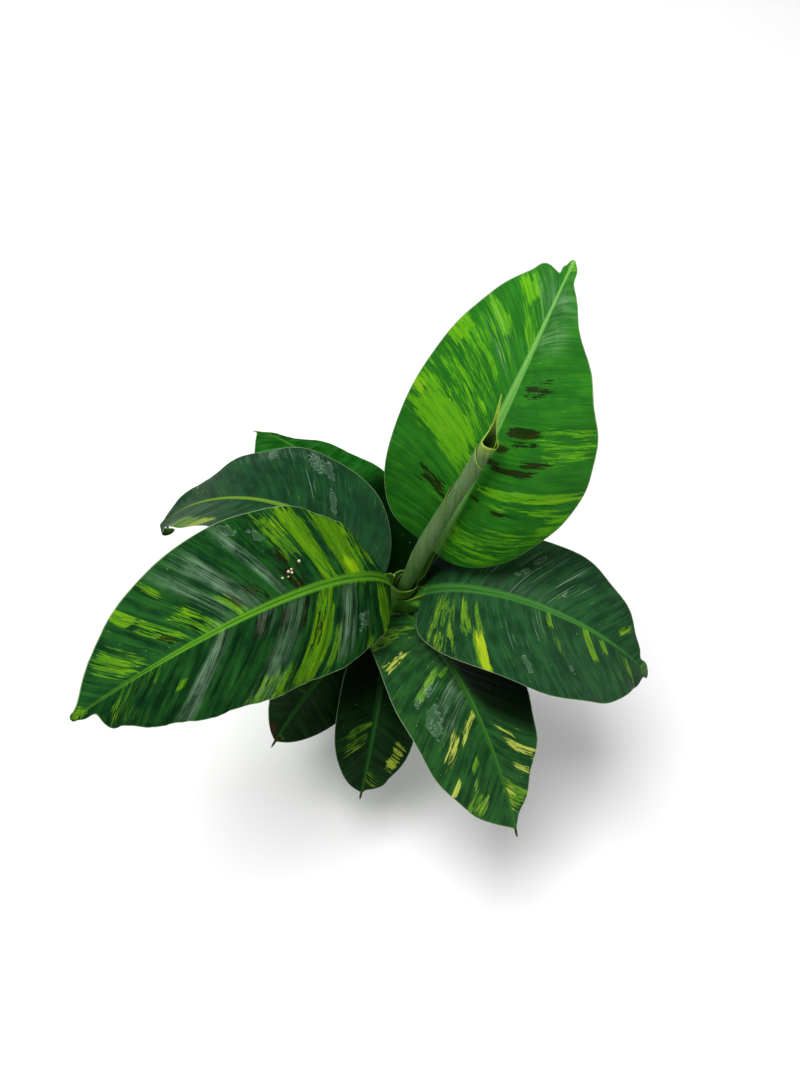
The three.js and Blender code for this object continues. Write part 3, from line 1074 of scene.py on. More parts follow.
@dataclass(frozen=True)
class StalkFinish:
    """Smooth green stalk with paler wings and a darker channel."""

    green: Colour = srgb(58, 112, 26)
    pale: Colour = srgb(98, 146, 40)
    edge: Colour = srgb(158, 178, 96)
    channel: Colour = srgb(76, 134, 32)
    base: Colour = srgb(112, 138, 40)
    sheen: float = 0.18
    seed: float = 0.0

    def build(self, name: str) -> bpy.types.Material:
        """Make the material, which reads the place round and along the stalk.

        Args:
            name: name of the material.

        Returns:
            The finished material.
        """
        board = Board(name)
        along, wing, hollow = board.attribute("run").parts()
        fibres = board.streaks(wing, along, 0.16, 26 * MM, self.seed)
        lines = board.streaks(wing, along, 0.06, 40 * MM, self.seed + 1)
        colour = board.coats(
            self.green,
            ((fibres * 0.7 + board.cloud(90.0, 2.0) * 0.6).step(-0.5, 0.6), self.pale),
            ((1.0 - along.step(0.004, 0.024)) * 0.7, self.base),
            (hollow * 0.6, self.channel),
            (lines.step(0.05, 0.6) * 0.4, self.pale),
            (abs(wing).step(0.93, 0.985) * 0.75, self.edge),
        )
        roughness = 0.45 + (fibres + 0.5) * 0.1
        return board.finish(colour, roughness, lines * 0.5 + 0.5, 0.2 * MM, self.sheen)


@dataclass
class Stalk:
    """A channelled stalk that clasps the stem and runs under its blade.

    The hold is the share of its length that clasps the stem, the join is where the clasping
    foot runs into the midrib's line, and the tuck is how far it goes on under the blade.
    """

    leaf: Leaf
    look: StalkFinish
    stem: Pseudostem
    wrap: float = 70.0
    hold: float = 0.42
    rows: int = 100
    across: int = 81
    half: tuple[float, float] = (5.0 * MM, 4.6 * MM)
    depth: tuple[float, float] = (4.4 * MM, 3.9 * MM)
    join: float = 12 * MM
    tuck: float = 7 * MM
    ply: float = 1.9 * MM
    wall: float = 1.2 * MM
    bite: float = 0.2 * MM
    sag: float = 4 * MM
    least_rise: float = 4 * MM

    def path(self, along: Array) -> tuple[Array, Array, Array]:
        """Centre line with its left and up directions, from the foot to under the blade.

        Args:
            along: shares of the stalk's whole line.

        Returns:
            Place, left and up, each with one row for each share.
        """
        leaf = self.leaf
        end = leaf.stalk + self.tuck
        join = min(self.join, 0.7 * end)
        rise = max(leaf.drop, self.least_rise)
        lower = rise / (rise + end)
        length = np.clip((along - lower) / (1 - lower), 0, 1) * (end - join) + join
        place, left, up, _ = leaf.frames(length)
        foot_place, foot_left, foot_up = self.foot(rise)
        start, start_left, start_up, start_along = (part[0] for part in leaf.frames(np.array([join])))
        share = np.clip(along / lower, 0, 1)[..., None]
        reach = np.linalg.norm(start - foot_place)
        climb = np.array([0.0, 0.0, 1.0]) * reach
        low = (
            foot_place * (2 * share**3 - 3 * share**2 + 1) + climb * (share**3 - 2 * share**2 + share)
            + start * (3 * share**2 - 2 * share**3) + start_along * reach * (share**3 - share**2)
        )
        under = (along < lower)[..., None]
        low_left = unit(mix(foot_left, start_left, share))
        low_up = unit(mix(foot_up, start_up, share))
        return np.where(under, low, place), np.where(under, low_left, left), np.where(under, low_up, up)

    def foot(self, rise: float) -> tuple[Array, Array, Array]:
        """Place and directions of the stalk's foot, flat against the stem.

        Args:
            rise: height from the foot to the leaf's own foot.

        Returns:
            Place, left and up.
        """
        heading = math.radians(self.leaf.foot_bearing)
        out = np.array([math.cos(heading), math.sin(heading), 0.0])
        height = self.leaf.foot_height - rise
        reach = self.stem.radius(height) + 1.0 * MM
        return out * reach + np.array([0.0, 0.0, height]), np.array([-out[1], out[0], 0.0]), -out

    def section(self, across: Array) -> tuple[Array, Array, Array]:
        """Whether on the outside, the place from wing to wing, and the belly between them.

        Args:
            across: share of the way round the section.

        Returns:
            Whether outside, place from -1 to 1, and belly from 0 to 1.
        """
        outer = across < 0.5
        swing = np.where(outer, across * 4 - 1, 3 - across * 4) * math.pi / 2
        return outer, np.sin(swing), np.cos(swing)

    def marks(self, along: Array, bow: Array, outer: Array) -> Marks:
        """Values that the finish reads: metres along, place round, and whether in the channel."""
        return {"run": columns(along * (self.leaf.stalk + 30 * MM), bow, np.where(outer, 0.0, 1.0))}

    def skin(self, across: Array, along: Array) -> tuple[Array, Marks]:
        """Points and marks of the closed stalk: outside of the section, then its channel.

        Args:
            across: share of the way round the section.
            along: share of the way from the foot to the end.

        Returns:
            The points, and the marks that the finish reads on them.
        """
        place, left, up = self.path(along)
        outer, bow, belly = self.section(across)
        half = mix(*self.half, along)
        depth = mix(*self.depth, along)
        wings = 0.45 * depth * np.abs(bow) ** 3
        level = np.where(outer, -depth * belly**0.8 + wings, -0.35 * depth * belly**0.8 + wings)
        width = np.where(outer, half, half * 0.93) * bow
        clasp = 1 - smooth(along, 0.04, self.hold)
        ply = smooth(along, 0.0, 0.12) * self.ply
        core = np.linalg.norm(place[:, :2], axis=1)
        seat = core - self.bite + np.where(outer, ply, -self.wall) * (1 - 0.7 * np.abs(bow) ** 6)
        angle = math.radians(self.leaf.foot_bearing) + np.radians(self.wrap) * bow * (0.3 + 0.7 * clasp)
        hug = around(seat, angle, place[:, 2] + self.sag * (1 - np.abs(bow)) * clasp)
        points = mix(moved(moved(place, left, width), up, level), hug, (clasp**1.4)[..., None])
        return points, self.marks(along, bow, outer)

    def build(self) -> None:
        """Make the stalk and seat it in place of its solid."""
        name = self.leaf.name
        skin = Skin(self.rows, self.across, self.skin, crease=65)
        skin.seat(f"channelled_stalk_{name}", self.look.build(f"stalk_{name}"), "stalk", f"stalk_{name}")


@dataclass
class MouthStalk(Stalk):
    """A stalk that rises out of the stem's mouth, its sheath wrapped round the rolled leaf.

    The sheath's margins lie level round the roll at the rim's height, on a tube of that
    radius, and turn from the wide to the narrow angle where the stalk leaves it. The keel
    is the ridge down the sheath's back, the sink is how deep the sheath starts below the
    midrib's foot, and the roll lean is how far the rolled leaf leans for each metre up.
    """

    rim: float = 213 * MM
    tube: float = 10.5 * MM
    wide: float = 150.0
    narrow: float = 48.0
    wing: float = 3.2 * MM
    keel: float = 0.0
    keel_turn: float = 27.0
    keel_start: float = 50 * MM
    sink: float = 8 * MM
    roll_lean: float = -0.075
    bulge_turn: float = 50.0
    end_half: float = 4.8 * MM
    rows: int = 170
    half: tuple[float, float] = (8.5 * MM, 6.0 * MM)

    def path(self, along: Array) -> tuple[Array, Array, Array]:
        """Centre line with its left and up directions, from inside the mouth to under the blade.

        Args:
            along: shares of the stalk's whole line.

        Returns:
            Place, left and up, each with one row for each share.
        """
        length = (self.leaf.stalk + self.tuck + self.sink) * along - self.sink
        place, left, up, _ = self.leaf.frames(np.maximum(length, 0))
        place[:, 2] += np.minimum(length, 0)
        return place, left, up

    def skin(self, across: Array, along: Array) -> tuple[Array, Marks]:
        """Points and marks: outside of the sheath and stalk, then the channel.

        Args:
            across: share of the way round the section.
            along: share of the way from the foot to the end.

        Returns:
            The points, and the marks that the finish reads on them.
        """
        place, left, up = self.path(along)
        outer, bow, belly = self.section(across)
        height = place[:, 2]
        half = mix(*self.half, smooth(along, 0.2, 0.8))
        half = mix(half, self.end_half, smooth(along, 0.8, 1.0))
        depth = mix(*self.depth, along)
        wings = self.wing * np.abs(bow) ** 4 * (1 - 0.6 * smooth(along, 0.6, 1.0))
        level = np.where(outer, -depth, -0.3 * depth) * belly**0.8 + wings
        stalk = moved(moved(place, left, np.where(outer, half, half * 0.95) * bow), up, level)

        hold = 1 - smooth(height, self.rim - 3 * MM, self.rim + 6 * MM)
        turn = mix(self.narrow, self.wide, hold) * bow
        bulge = np.exp(-((turn / self.bulge_turn) ** 2))
        shift = self.roll_lean * np.maximum(height - self.stem.mouth, 0)
        core = np.hypot(place[:, 0] - shift, place[:, 1])
        belt = smooth(height, self.rim - self.keel_start, self.rim - 6 * MM)
        belt = belt * (1 - smooth(height, self.rim, self.rim + 14 * MM))
        ridge = self.keel * belt * np.exp(-((turn / self.keel_turn) ** 2))
        ply = mix(1.0 * MM, 0.7 * depth, bulge) * (1 - np.abs(bow) ** 8) + ridge
        reach = mix(self.tube, core + 0.5 * depth, bulge) + ridge - np.where(outer, 0.0, ply)
        sheath = around(reach, np.radians(self.leaf.foot_bearing + turn), height, shift)
        loose = smooth(height, self.rim + 2 * MM, self.rim + 16 * MM)
        return mix(sheath, stalk, loose[..., None]), self.marks(along, bow, outer)


# ---- rolled leaf --------------------------------------------------------------------


@dataclass(frozen=True)
class RolledFinish:
    """Grey-green waxy underside of the rolled leaf, lime at its rims."""

    wax: Colour = srgb(110, 138, 92)
    green: Colour = srgb(72, 112, 50)
    deep: Colour = srgb(44, 78, 34)
    rim: Colour = srgb(196, 226, 72)
    inner: Colour = srgb(30, 72, 18)
    young: Colour = srgb(62, 106, 34)
    sheen: float = 0.15

    def build(self, name: str) -> bpy.types.Material:
        """Make the material, which reads the place on the roll.

        Args:
            name: name of the material.

        Returns:
            The finished material.
        """
        board = Board(name)
        height, turn, rim = board.attribute("roll").parts()
        inside, tail, low = board.attribute("fold").parts()
        slanted = turn + height * 0.35
        streaks = board.streaks(slanted, height, 5 * MM, 90 * MM, 1.0)
        veins = board.streaks(slanted, height, 0.9 * MM, 120 * MM, 2.0)
        cloud = board.cloud(70.0)
        colour = board.coats(
            self.green,
            ((streaks * 0.8 + cloud * 0.5).step(-0.45, 0.4), self.wax),
            ((streaks * 0.9 + cloud * 0.5 + low * 0.1).step(0.2, 0.6) * 0.55, self.deep),
            (veins.step(0.1, 0.6) * 0.3, self.wax),
            (low * 0.65, self.young),
            (inside * 0.9, self.inner),
            (tail * (0.85 - inside * 0.6 + streaks * 0.2), self.rim),
            (rim * 0.85, self.rim),
        )
        roughness = 0.5 + (streaks + 0.5) * 0.1
        return board.finish(colour, roughness, veins * 0.5 + 0.5, 0.25 * MM, self.sheen)


@dataclass
class RolledLeaf:
    """The youngest leaf, wound up, open at its mouth and drawn out to a thin tail.

    The path gives the roll's shift, height and outer radius. The edge is the free edge of
    the wound sheet: turns back from its outer end, and the height that it reaches there in
    millimetres. The tail's path gives its shift, height and half width. The wide rim, side
    rim, lime top and young foot are the heights between which each of them comes in.
    """

    path: tuple[tuple[float, ...], ...] = in_mm(
        (0.0, 187.3, 6.0), (-1.5, 205, 6.3), (-3, 228, 6.9), (-5.2, 255, 7.8), (-6.8, 285, 8.2),
        (-7.8, 318, 7.6), (-8.6, 352, 6.7), (-9, 392, 6.4), (-9.4, 425, 6.3), (-9.6, 445, 6.6),
    )
    edge: tuple[tuple[float, float], ...] = (
        (-1.75, 446), (-1.6, 441), (-1.39, 434), (-0.96, 413), (-0.46, 372), (-0.28, 354), (-0.1, 326),
        (0.0, 296),
    )
    tail_path: tuple[tuple[float, ...], ...] = in_mm(
        (-9.8, 437, 5.6), (-10.6, 446, 5.0), (-12.4, 456, 3.1), (-14.6, 466, 1.5), (-18.0, 480, 1.2),
        (-20.4, 490, 0.9), (-22.8, 498, 0.4),
    )
    outer_end: float = -17.0
    windings: float = 2.9
    ply: float = 0.75 * MM
    thickness: float = 0.45 * MM
    sink: float = 6 * MM
    flare: float = 7 * MM
    rim_band: tuple[float, float] = (0.8 * MM, 2.2 * MM)
    wide_rim: tuple[float, float] = (415 * MM, 430 * MM)
    side_rim: tuple[float, float] = (200 * MM, 250 * MM)
    lime_top: tuple[float, float] = (430 * MM, 440 * MM)
    young_foot: tuple[float, float] = (210 * MM, 270 * MM)
    tail_rise: float = 3 * MM
    tail_shift: float = 1.2 * MM
    tail_turn: tuple[float, float] = (104.0, 144.0)
    tail_wrap: tuple[float, float] = (215.0, 90.0)
    rows: int = 220
    across: int = 421
    tail_rows: int = 80
    tail_across: int = 61

    def skin(self, across: Array, along: Array) -> tuple[Array, Marks]:
        """Points and marks of the wound sheet: its outer face, then its inner face back.

        Args:
            across: share of the way round the section.
            along: share of the way from the foot to the end.

        Returns:
            The points, and the marks that the finish reads on them.
        """
        inside = across > 0.5
        spread = np.where(inside, 2 - 2 * across, 2 * across)
        body = (np.minimum(along, 1 - along) > RIM) & (np.minimum(spread, 1 - spread) > RIM)
        back = (spread - 1) * self.windings
        turns, tops = (np.array(part) for part in zip(*self.edge))
        tops = tops * MM
        top = np.interp(back, turns, tops) + 0.6 * MM * np.sin(back * 17)
        bottom = self.path[0][1] - self.sink
        height = bottom + (top - bottom) * along
        shifts, heights, radii = zip(*self.path)
        shift, radius = (np.interp(height, heights, part) for part in (shifts, radii))
        outermost = np.interp(height, tops[::-1], turns[::-1])
        free = np.exp(-((top - height) / self.flare)) * smooth(back, -1.8, -1.2)
        reach = radius - self.ply * (outermost - back) + 0.55 * self.ply * free
        reach = reach + self.thickness / 2 * np.where(inside, -1, 1) * body
        turn = np.radians(self.outer_end) + back * 2 * math.pi
        pinch = 1 - 0.05 * np.cos(2 * turn + height * 20)
        side_rim = smooth(back, -0.02, -0.004) * smooth(height, *self.side_rim)
        band = mix(*self.rim_band, smooth(height, *self.wide_rim))
        rim = np.maximum(1 - smooth((top - height) / band, 0.1, 1.0), side_rim)
        low = 1 - smooth(height, *self.young_foot)
        marks = {
            "roll": columns(height, back * 0.05, rim),
            "fold": columns(inside * (1 - rim), 0.25 * smooth(height, *self.lime_top), low),
        }
        return around(reach * pinch, turn, height, shift), marks

    def tail_skin(self, across: Array, along: Array) -> tuple[Array, Marks]:
        """Points and marks of the channelled tail: its outer face, then its inner face back.

        Args:
            across: share of the way round the section.
            along: share of the way from the foot to the end.

        Returns:
            The points, and the marks that the finish reads on them.
        """
        inside = across > 0.5
        spread = np.where(inside, 1.5 - 2 * across, 2 * across - 0.5)
        body = (np.minimum(along, 1 - along) > RIM) & (np.abs(spread) < 0.5 - RIM)
        stations = np.linspace(0, 1, len(self.tail_path))
        shift, height, half = (np.interp(along, stations, part) for part in zip(*self.tail_path))
        height = height + self.tail_rise * (1 - along) ** 2 * (2 * spread) ** 2
        face = self.thickness / 2 * np.where(inside, -1, 1) * body
        turn = np.radians(mix(*self.tail_turn, along) + spread * mix(*self.tail_wrap, along))
        rim = smooth(np.abs(spread), 0.36, 0.46)
        hollow = inside * (1 - smooth(along, 0.45, 0.7)) * (1 - rim)
        marks = {
            "roll": columns(height, spread * 0.02, rim),
            "fold": columns(hollow, 0.25 + 0.75 * smooth(along, 0.2, 0.6), 0 * rim),
        }
        return around(half + face, turn, height, shift + self.tail_shift * along), marks

    def build(self) -> None:
        """Make the roll and its tail, and seat them in place of the solid."""
        look = RolledFinish()
        parts = {
            "wound_leaf": Skin(self.rows, self.across, self.skin, capped=False),
            "wound_leaf_tail": Skin(self.tail_rows, self.tail_across, self.tail_skin, capped=False),
        }
        for name, skin in parts.items():
            skin.seat(name, look.build(name), "rolled", "rolled_leaf")


@dataclass
class Crumbs:
    """Pale specks and a dark thread lying on a blade."""

    leaf: Leaf
    specks: tuple[tuple[float, float, float], ...]
    thread: tuple[tuple[float, float], ...]
    lift: float = 0.9 * MM
    thread_half: float = 0.35 * MM

    def speck_mesh(self) -> bmesh.types.BMesh:
        """Small rounded grains at their places.

        Returns:
            One mesh with all the grains.
        """
        mesh = bmesh.new()
        for share, side, radius in self.specks:
            there = self.leaf.surface(np.array([share]), np.array([side]))
            place, normal = there[0][0], there[1][0]
            middle = Matrix.Translation(Vector(place + normal * self.lift))
            bmesh.ops.create_icosphere(mesh, subdivisions=3, radius=radius, matrix=middle)
        return mesh

    def thread_skin(self, across: Array, along: Array) -> tuple[Array, Marks]:
        """Points of the thread, round its bent line.

        Args:
            across: share of the way round the section.
            along: share of the way from the foot to the end.

        Returns:
            The points, without marks.
        """
        stations = np.linspace(0, 1, len(self.thread))
        shares, sides = (np.interp(along, stations, part) for part in zip(*self.thread))
        place, normal, _, _ = self.leaf.surface(shares, sides)
        _, left, _, _ = self.leaf.frames(self.leaf.stalk + self.leaf.blade * shares)
        turn = across * 2 * math.pi
        reach = self.thread_half * np.sqrt(np.clip(1 - (2 * along - 1) ** 6, 0, 1))
        ring = left * np.cos(turn)[..., None] + normal * np.sin(turn)[..., None]
        return moved(place + normal * self.lift, ring, reach), {}

    def build(self) -> None:
        """Make the specks and the thread."""
        board = Board("crumbs")
        cream = board.blend(board.noise(board.place(), 900.0), srgb(214, 206, 170), srgb(176, 160, 112))
        place_piece(to_piece(self.speck_mesh(), "pale_crumbs", board.finish(cream, 0.7)), "blade")
        board = Board("crumb_thread")
        brown = board.blend(board.noise(board.place(), 700.0), srgb(44, 30, 18), srgb(84, 62, 34))
        thread = Skin(40, 13, self.thread_skin, capped=False, crease=50)
        thread.seat("crumb_thread", board.finish(brown, 0.7), "blade")


# ---- the leaves of this plant -------------------------------------------------------

UPRIGHT = Leaf(
    name="upright",
    foot_bearing=80, foot_radius=10 * MM, foot_height=187 * MM,
    bearing=139, sweep=-29, rise=88, droop=67, bend=2.0,
    stalk=75 * MM, blade=325 * MM, width=158 * MM, peak=0.32, full=0.40, skew=-0.06,
    roll=-25, twist=-28, fold=(-16, 44), curl=(40, -44), lean=(0.19, 2.0),
    finger=1 * MM, finger_half=2.2 * MM,
    pleat=0.16 * MM, pleat_pitch=11 * MM, wave=1.4 * MM, phase=0.4,
    notches=(Notch(1, 0.93, 0.018, 0.45), Notch(1, 0.97, 0.03, 0.42), Notch(1, 0.88, 0.03, -0.06)),
    patches=patched(
        lime=(
            (0.38, 0.52, 0.06, 0.41, 0.72), (0.47, 0.56, 0.09, 0.44, 0.36), (0.61, 0.58, 0.1, 0.38, 0.3),
            (0.56, 0.94, 0.037, 0.08, 0.7), (0.69, 0.7, 0.02, 0.2, 0.6), (0.81, 0.73, 0.03, 0.23, 0.55),
            (0.79, 0.26, 0.048, 0.23, 0.35), (0.51, -0.77, 0.052, 0.23, 0.34),
            (0.34, -0.57, 0.016, 0.43, 0.72), (0.18, -0.68, 0.03, 0.33, 0.36),
            (0.29, -0.63, 0.012, 0.28, 0.45), (0.23, -0.94, 0.056, 0.08, 0.5), (0.99, 0.0, 0.02, 1.0, 0.45),
            (0.1, -0.45, 0.08, 0.55, 0.36),
        ),
        yellow=((0.39, 0.95, 0.012, 0.05, 0.8), (0.335, -0.86, 0.01, 0.14, 0.6)),
        maroon=(
            (0.66, -0.39, 0.024, 0.18, 0.6), (0.54, -0.36, 0.014, 0.16, 1.0),
            (0.51, -0.44, 0.01, 0.09, 0.8), (0.48, -0.19, 0.014, 0.07, 0.8),
            (0.43, -0.17, 0.008, 0.06, 0.8), (0.42, -0.38, 0.01, 0.2, 1.0), (0.45, -0.57, 0.01, 0.1, 0.65),
            (0.29, -0.16, 0.008, 0.05, 0.7), (0.27, -0.5, 0.008, 0.12, 0.65),
            (0.22, 0.36, 0.024, 0.2, 0.66),
        ),
        # waxy bloom, also a painted sheen
        bloom=((0.88, -0.11, 0.04, 0.76, 0.6), (0.8, -0.4, 0.04, 0.33, 0.45)),
        scratch=((0.66, 0.5, 0.03, 0.4, 0.8), (0.36, -0.4, 0.01, 0.4, 0.7)),
    ),
)
LONG = Leaf(
    name="long",
    foot_bearing=242, foot_radius=10 * MM, foot_height=193 * MM,
    bearing=242.5, sweep=6, rise=75.5, droop=-7.5, bend=0.8,
    stalk=67.5 * MM, blade=361 * MM, width=149 * MM, peak=0.40, full=0.71, skew=0.05,
    roll=-15, twist=-30, fold=(-6, -21), curl=(-32, -21), lean=(-0.73, 2.2),
    finger=3 * MM, finger_half=3.4 * MM,
    pleat=0.7 * MM, pleat_pitch=19 * MM, wave=1.6 * MM, phase=1.7,
    notches=(Notch(1, 0.945, 0.022, 0.4), Notch(1, 0.885, 0.03, -0.14)),
    patches=patched(
        lime=(
            (0.22, -0.49, 0.05, 0.51, 1.0), (0.33, -0.49, 0.029, 0.47, 0.9),
            (0.39, -0.65, 0.027, 0.34, 0.5), (0.11, -0.65, 0.044, 0.35, 0.5),
            (0.75, -0.87, 0.014, 0.13, 0.95), (0.75, -0.43, 0.017, 0.28, 0.62),
            (0.69, -0.24, 0.026, 0.28, 0.62), (0.85, -0.55, 0.04, 0.45, 0.48),
            (0.67, -0.86, 0.012, 0.14, 0.55), (0.61, -0.19, 0.015, 0.17, 0.6),
            (0.36, 0.53, 0.03, 0.47, 1.0), (0.3, 0.68, 0.014, 0.26, 0.7), (0.09, 0.6, 0.03, 0.4, 1.0),
            (0.45, 0.85, 0.05, 0.17, 0.55), (0.17, 0.83, 0.014, 0.17, 0.6), (0.86, 0.45, 0.05, 0.55, 0.38),
            (0.73, 0.48, 0.01, 0.05, 0.6), (0.985, -0.1, 0.02, 0.9, 0.5),
        ),
        maroon=(
            (0.545, -0.19, 0.014, 0.13, 0.6), (0.43, -0.44, 0.012, 0.12, 0.55),
            (0.44, -0.16, 0.014, 0.12, 0.65), (0.6, -0.24, 0.012, 0.12, 0.65),
            (0.71, -0.15, 0.01, 0.1, 0.55), (0.76, -0.25, 0.008, 0.09, 0.6),
            (0.49, 0.16, 0.018, 0.08, 0.68), (0.43, 0.19, 0.011, 0.13, 0.66),
            (0.37, 0.36, 0.014, 0.2, 0.55), (0.56, 0.18, 0.02, 0.1, 0.6),
        ),
        # waxy bloom, also a painted sheen
        bloom=(
            (0.49, -0.46, 0.01, 0.42, 1.0), (0.58, -0.48, 0.021, 0.36, 0.9),
            (0.635, -0.5, 0.016, 0.36, 0.6), (0.67, 0.52, 0.02, 0.5, 1.0), (0.47, 0.5, 0.03, 0.4, 0.7),
            (0.27, 0.45, 0.03, 0.32, 0.8), (0.55, 0.12, 0.021, 0.11, 0.8),
        ),
        yellow=((0.22, -0.13, 0.025, 0.14, 0.65),),
        stain=(
            (0.47, -0.89, 0.014, 0.05, 0.8), (0.43, -0.74, 0.01, 0.05, 0.8), (0.2, 0.54, 0.02, 0.1, 0.7),
        ),
    ),
)
ARCHING = Leaf(
    name="arching",
    foot_bearing=173, foot_radius=13.5 * MM, foot_height=176 * MM, drop=24 * MM,
    bearing=173, sweep=41, rise=41, droop=-82, bend=1.21,
    stalk=10 * MM, blade=272 * MM, width=175 * MM, peak=0.28, full=0.57, skew=-0.08,
    roll=11, twist=16, fold=(3, -1), curl=(29, -1), lean=(0, 1.6),
    finger=20 * MM, finger_half=5 * MM, hook=150, wring=-38,
    pleat=0.18 * MM, pleat_pitch=15 * MM, wave=1.4 * MM, phase=2.9,
    patches=patched(
        lime=((0.74, -0.69, 0.02, 0.31, 0.5), (0.66, 0.82, 0.054, 0.2, 0.7)),
        yellow=((0.56, 0.85, 0.04, 0.16, 0.8),),
        stain=(
            (0.265, -0.78, 0.014, 0.1, 0.95), (0.265, -0.36, 0.01, 0.12, 1.0), (0.3, -0.8, 0.02, 0.12, 0.7),
            (0.43, -0.88, 0.014, 0.06, 0.7),
        ),
        scratch=((0.33, -0.4, 0.008, 0.3, 0.8),),
        # waxy bloom, also a painted sheen
        bloom=((0.4, -0.92, 0.12, 0.08, 0.35), (0.7, 0.3, 0.1, 0.4, 0.2)),
    ),
)
SIDE = Leaf(
    name="side",
    foot_bearing=-6, foot_radius=10 * MM, foot_height=187 * MM,
    bearing=0, sweep=11, rise=88, droop=-35, bend=0.8,
    stalk=26 * MM, blade=241 * MM, width=152 * MM, peak=0.34, full=0.58, skew=-0.18,
    roll=9.5, twist=-18, fold=(19, -1), curl=(-4, 20), lean=(0.38, 1.43),
    finger=5.5 * MM, finger_half=9 * MM, finger_right=0.7, lobe=(0.5, 0.3),
    pleat=0.16 * MM, pleat_pitch=10 * MM, wave=1.8 * MM, phase=4.1,
    notches=(Notch(1, 0.93, 0.03, 0.32), Notch(-1, 0.94, 0.06, -0.3)),
    patches=patched(
        lime=(
            (0.14, -0.57, 0.05, 0.43, 0.52), (0.22, -0.37, 0.016, 0.24, 0.65),
            (0.262, -0.37, 0.01, 0.18, 0.85), (0.25, -0.76, 0.017, 0.24, 1.0),
            (0.68, -0.24, 0.014, 0.22, 0.85), (0.75, -0.18, 0.012, 0.09, 0.85),
            (0.53, -0.12, 0.01, 0.07, 0.7), (0.86, -0.4, 0.02, 0.27, 0.5), (0.78, 0.61, 0.02, 0.22, 0.6),
            (0.53, -0.36, 0.013, 0.16, 0.35), (0.985, 0.1, 0.03, 0.9, 0.5), (0.01, 0.5, 0.012, 0.4, 0.7),
        ),
        yellow=((0.255, -0.76, 0.012, 0.22, 0.65),),
        # painted shade on the left base, under the upright leaf
        dusk=((0.1, 0.75, 0.14, 0.35, 0.9),),
        stain=(
            (0.354, 0.65, 0.011, 0.05, 1.0), (0.354, 0.39, 0.018, 0.07, 0.7),
            (0.385, -0.7, 0.009, 0.05, 1.0), (0.546, -0.64, 0.004, 0.03, 0.7),
            (0.527, 0.36, 0.012, 0.05, 0.6),
        ),
        scratch=((0.41, 0.42, 0.15, 0.42, 0.9), (0.45, -0.32, 0.1, 0.3, 0.6)),
    ),
)
FRONT = Leaf(
    name="front",
    foot_bearing=317, foot_radius=13.5 * MM, foot_height=172 * MM, drop=24 * MM,
    bearing=317, sweep=9, rise=58, droop=-35, bend=0.89,
    stalk=2 * MM, blade=250 * MM, width=138 * MM, peak=0.35, full=0.60, skew=-0.10,
    roll=-3, twist=-8, fold=(-12, 0), curl=(9, 11), lean=(0.3, 2.0),
    finger=8 * MM, finger_half=1.6 * MM, lobe=(1.15, 0.6),
    pleat=0.2 * MM, pleat_pitch=12 * MM, wave=1.8 * MM, phase=5.2,
    patches=patched(
        lime=(
            (0.16, -0.45, 0.031, 0.35, 0.5), (0.18, -0.78, 0.012, 0.21, 0.65),
            (0.365, -0.47, 0.014, 0.24, 0.7), (0.39, -0.14, 0.012, 0.07, 0.65),
            (0.86, 0.5, 0.06, 0.53, 0.65), (0.67, -0.42, 0.016, 0.08, 0.65),
            (0.75, -0.78, 0.05, 0.22, 0.55),
        ),
        yellow=(
            (0.235, -0.72, 0.012, 0.22, 0.72), (0.555, -0.61, 0.022, 0.2, 0.6),
            (0.58, -0.2, 0.012, 0.2, 0.7), (0.63, -0.88, 0.008, 0.1, 0.75),
            (0.605, 0.46, 0.014, 0.14, 0.66), (0.645, 0.72, 0.02, 0.3, 0.58),
            (0.725, 0.76, 0.02, 0.22, 0.6), (0.9, 0.2, 0.06, 0.2, 0.46),
        ),
        # waxy bloom, also a painted sheen
        bloom=((0.48, -0.28, 0.044, 0.2, 0.7),),
        stain=(
            (0.45, -0.6, 0.04, 0.1, 0.72), (0.377, -0.46, 0.014, 0.06, 0.7),
            (0.369, -0.66, 0.012, 0.05, 0.7),
        ),
        scratch=((0.45, -0.3, 0.08, 0.3, 0.7),),
        scorch=((1.015, 0.0, 0.015, 1.0, 0.9),),
        # painted shade on the left half, under the side leaf
        dusk=((0.33, 0.6, 0.2, 0.5, 1.0),),
    ),
)
LOWER = Leaf(
    name="lower",
    foot_bearing=287.5, foot_radius=14.5 * MM, foot_height=154 * MM, drop=24 * MM,
    bearing=287.5, sweep=11.5, rise=25, droop=-47, bend=0.8,
    stalk=6 * MM, blade=164 * MM, width=86 * MM, peak=0.42, full=0.66, skew=0.05,
    roll=-8, twist=2, fold=(13.5, 13), curl=(-24, 10), lean=(0, 1.4),
    finger=8 * MM, finger_half=1.4 * MM,
    pleat=0.15 * MM, pleat_pitch=11 * MM, wave=1.0 * MM, phase=0.9,
    notches=(Notch(1, 0.9, 0.05, -0.2), Notch(1, 0.975, 0.02, 0.3)),
    patches=patched(
        yellow=((0.7, 0.72, 0.085, 0.14, 0.66),),
        lime=(
            (0.64, -0.45, 0.07, 0.34, 0.56), (0.88, 0.3, 0.05, 0.5, 0.42), (0.65, -0.79, 0.04, 0.14, 0.4),
            (0.6, -0.28, 0.012, 0.22, 0.65),
        ),
        scorch=((1.02, 0.0, 0.02, 1.0, 0.6),),
        # painted shade towards the base, under the leaves above
        dusk=((0.2, 0.0, 0.24, 1.0, 0.8),),
    ),
)
